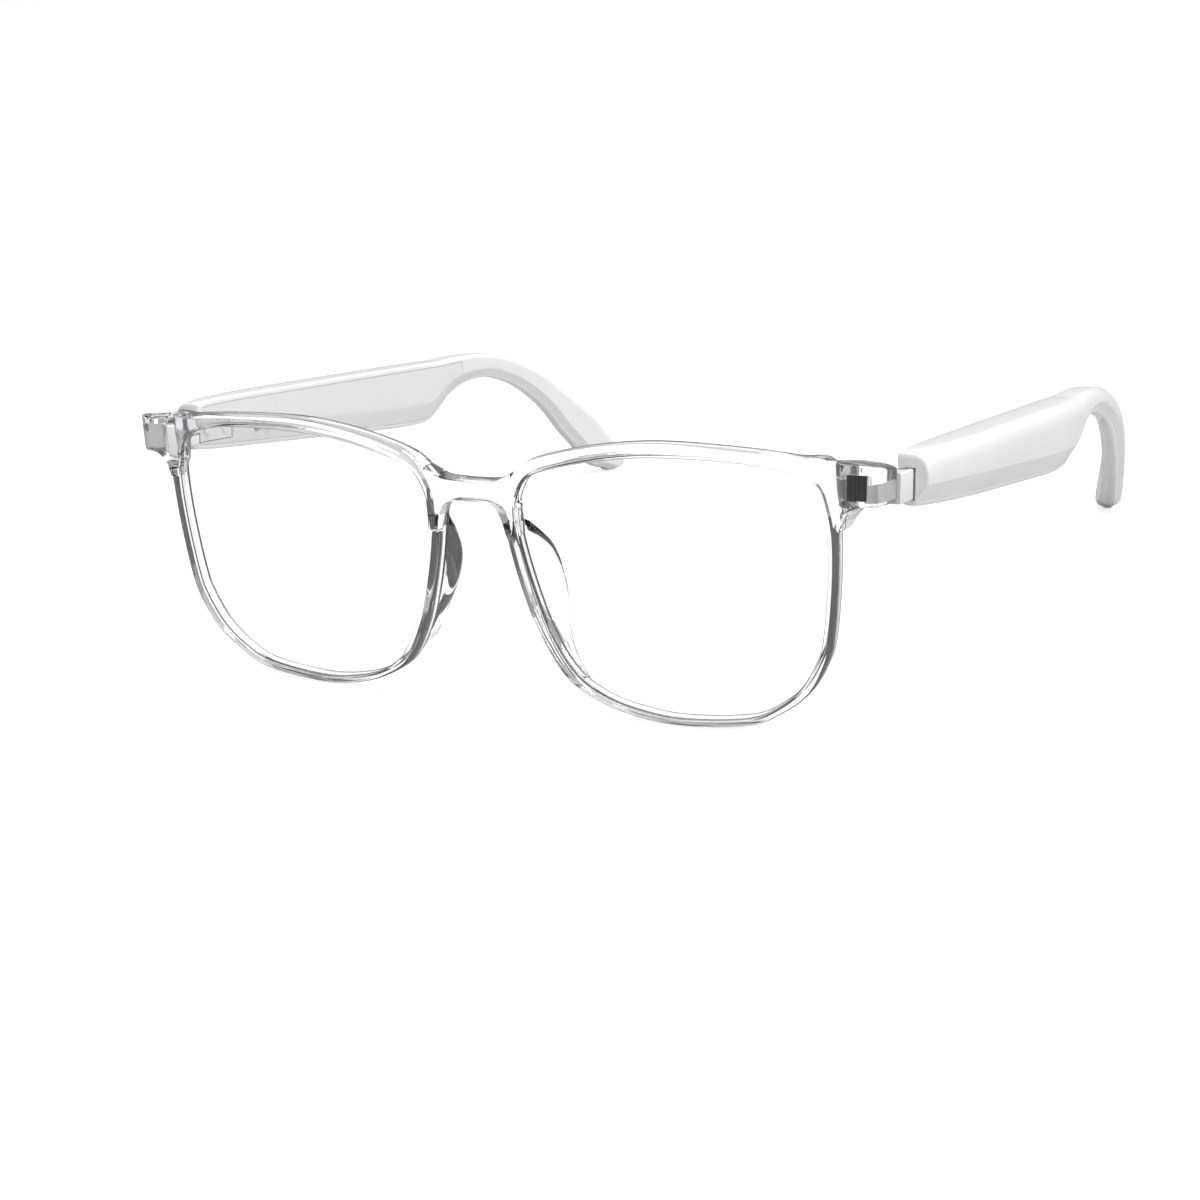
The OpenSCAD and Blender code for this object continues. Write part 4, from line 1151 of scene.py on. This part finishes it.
def make_world():
    """White to the eye, even and softer to matt surfaces, and light and dark bands to clear and glossy ones.

    The bands follow the direction alone: light ahead of the glasses' back and overhead, darker at the sides.
    """
    world = bpy.data.worlds.new("studio")
    bpy.context.scene.world = world
    world.use_nodes = True
    tree = world.node_tree
    tree.nodes.clear()
    direction = add_node(tree, "ShaderNodeTexCoord").outputs["Generated"]
    path = add_node(tree, "ShaderNodeLightPath").outputs
    a = bpy.context.scene.glasses_view.azimuth
    along = add_node(tree, "ShaderNodeVectorMath", {0: direction, 1: (-math.sin(a), math.cos(a), 0)},
                     operation="DOT_PRODUCT")
    share = math_value(tree, "MULTIPLY_ADD", along.outputs["Value"], 0.5, 0.5)

    def bands(levels):
        """A ramp over the share of the direction that points ahead: (from -1 to 1, level)."""
        ramp = add_node(tree, "ShaderNodeValToRGB", {0: share})
        ramp.color_ramp.interpolation = "EASE"
        elements = ramp.color_ramp.elements
        while len(elements) < len(levels):
            elements.new(0.5)
        for element, (place, level) in zip(elements, levels):
            element.position = (place + 1) / 2
            element.color = (level, level, level, 1)
        return ramp.outputs[0]

    clear = bands([(-1, 0.5), (-0.5, 0.12), (-0.1, 0.03), (0.3, 0.08), (0.65, 0.7), (1, 1)])
    gloss = bands([(-1, 0.6), (-0.2, 0.55), (0.4, 0.75), (1, 1)])
    colour = (0.42, 0.42, 0.42, 1)
    for label, source in (("Is Transmission Ray", clear), ("Is Glossy Ray", gloss), ("Is Camera Ray", (1, 1, 1, 1))):
        colour = colour_mix(tree, path[label], colour, source)
    shine = add_node(tree, "ShaderNodeBackground", {"Color": colour})
    add_node(tree, "ShaderNodeOutputWorld", {"Surface": shine.outputs[0]})


def make_camera():
    """The camera, from its angle and place in the worn frame, taken along with the standing glasses."""
    v = bpy.context.scene.glasses_view
    a, e, r = v.azimuth, v.elevation, v.roll
    right = Vector((math.cos(a), math.sin(a), 0))
    back = Vector((math.sin(a) * math.cos(e), -math.cos(a) * math.cos(e), math.sin(e)))
    up = back.cross(right)
    right, up = right * math.cos(r) + up * math.sin(r), up * math.cos(r) - right * math.sin(r)
    turn = Matrix((right, up, back)).transposed().to_4x4()
    data = bpy.data.cameras.new("camera")
    data.lens = v.focal
    data.sensor_width = 36
    data.clip_start = 0.01
    camera = bpy.data.objects.new("camera", data)
    bpy.context.scene.collection.objects.link(camera)
    row = worn_to_row()
    camera.matrix_world = Matrix.Translation(row @ Vector(v.place)) @ (Matrix.Rotation(-lean(), 4, "X") @ turn)
    bpy.context.scene.camera = camera


def plain_view():
    """Colours shown as they are, without a film look."""
    view = bpy.context.scene.view_settings
    view.view_transform = "Standard"
    view.look = "None"
    view.exposure = 0
    view.gamma = 1


# ---------------------------------------------------------------- operators and panel

class GLASSES_OT_front(bpy.types.Operator):
    """Builds the clear front with its rims, bridge, endpieces and hinge lugs"""
    bl_idname = "glasses.front"
    bl_label = "Clear Front"

    def execute(self, context):
        make_front()
        make_lugs()
        return {"FINISHED"}


class GLASSES_OT_lenses(bpy.types.Operator):
    """Builds the two lenses"""
    bl_idname = "glasses.lenses"
    bl_label = "Lenses"

    def execute(self, context):
        make_lenses()
        return {"FINISHED"}


class GLASSES_OT_pads(bpy.types.Operator):
    """Builds the two nose pads"""
    bl_idname = "glasses.pads"
    bl_label = "Nose Pads"

    def execute(self, context):
        make_pads()
        return {"FINISHED"}


class GLASSES_OT_temples(bpy.types.Operator):
    """Builds the shells and the inner covers of the two temples"""
    bl_idname = "glasses.temples"
    bl_label = "Temples"

    def execute(self, context):
        for name, side in SIDES.items():
            make_shell(name, side)
            make_cover(name, side)
        return {"FINISHED"}


class GLASSES_OT_fittings(bpy.types.Operator):
    """Gives the hinges, screws and electronics their finishes"""
    bl_idname = "glasses.fittings"
    bl_label = "Fittings"

    def execute(self, context):
        finish_nodes()
        return {"FINISHED"}


class GLASSES_OT_stage(bpy.types.Operator):
    """Builds the floor, the lights, the surroundings and the camera"""
    bl_idname = "glasses.stage"
    bl_label = "Stage"

    def execute(self, context):
        make_floor()
        make_lights()
        make_world()
        make_camera()
        plain_view()
        return {"FINISHED"}


class GLASSES_PT_panel(bpy.types.Panel):
    """Lists the glasses' pieces and sizes"""
    bl_idname = "GLASSES_PT_panel"
    bl_label = "Smart Glasses"
    bl_space_type = "VIEW_3D"
    bl_region_type = "UI"
    bl_category = "Glasses"

    def draw(self, context):
        scene = context.scene
        for operator in OPERATORS:
            self.layout.operator(operator.bl_idname)
        for title, group in (("Front", scene.glasses_front), ("Temples", scene.glasses_temple),
                             ("Colours", scene.glasses_look), ("View", scene.glasses_view)):
            box = self.layout.box()
            box.label(text=title)
            for name in group.__annotations__:
                box.prop(group, name)


OPERATORS = (GLASSES_OT_front, GLASSES_OT_lenses, GLASSES_OT_pads, GLASSES_OT_temples, GLASSES_OT_fittings,
             GLASSES_OT_stage)
GROUPS = {"glasses_front": GlassesFront, "glasses_temple": GlassesTemple, "glasses_look": GlassesLook,
          "glasses_view": GlassesView}


def register():
    for cls in (*GROUPS.values(), *OPERATORS, GLASSES_PT_panel):
        bpy.utils.register_class(cls)
    for name, cls in GROUPS.items():
        setattr(bpy.types.Scene, name, bpy.props.PointerProperty(type=cls))


def unregister():
    for name in GROUPS:
        delattr(bpy.types.Scene, name)
    for cls in (GLASSES_PT_panel, *reversed(OPERATORS), *reversed(list(GROUPS.values()))):
        bpy.utils.unregister_class(cls)


def main():
    register()
    bpy.ops.glasses.stage()
    bpy.ops.glasses.front()
    bpy.ops.glasses.lenses()
    bpy.ops.glasses.pads()
    bpy.ops.glasses.temples()
    bpy.ops.glasses.fittings()


if __name__ == "__main__":
    main()
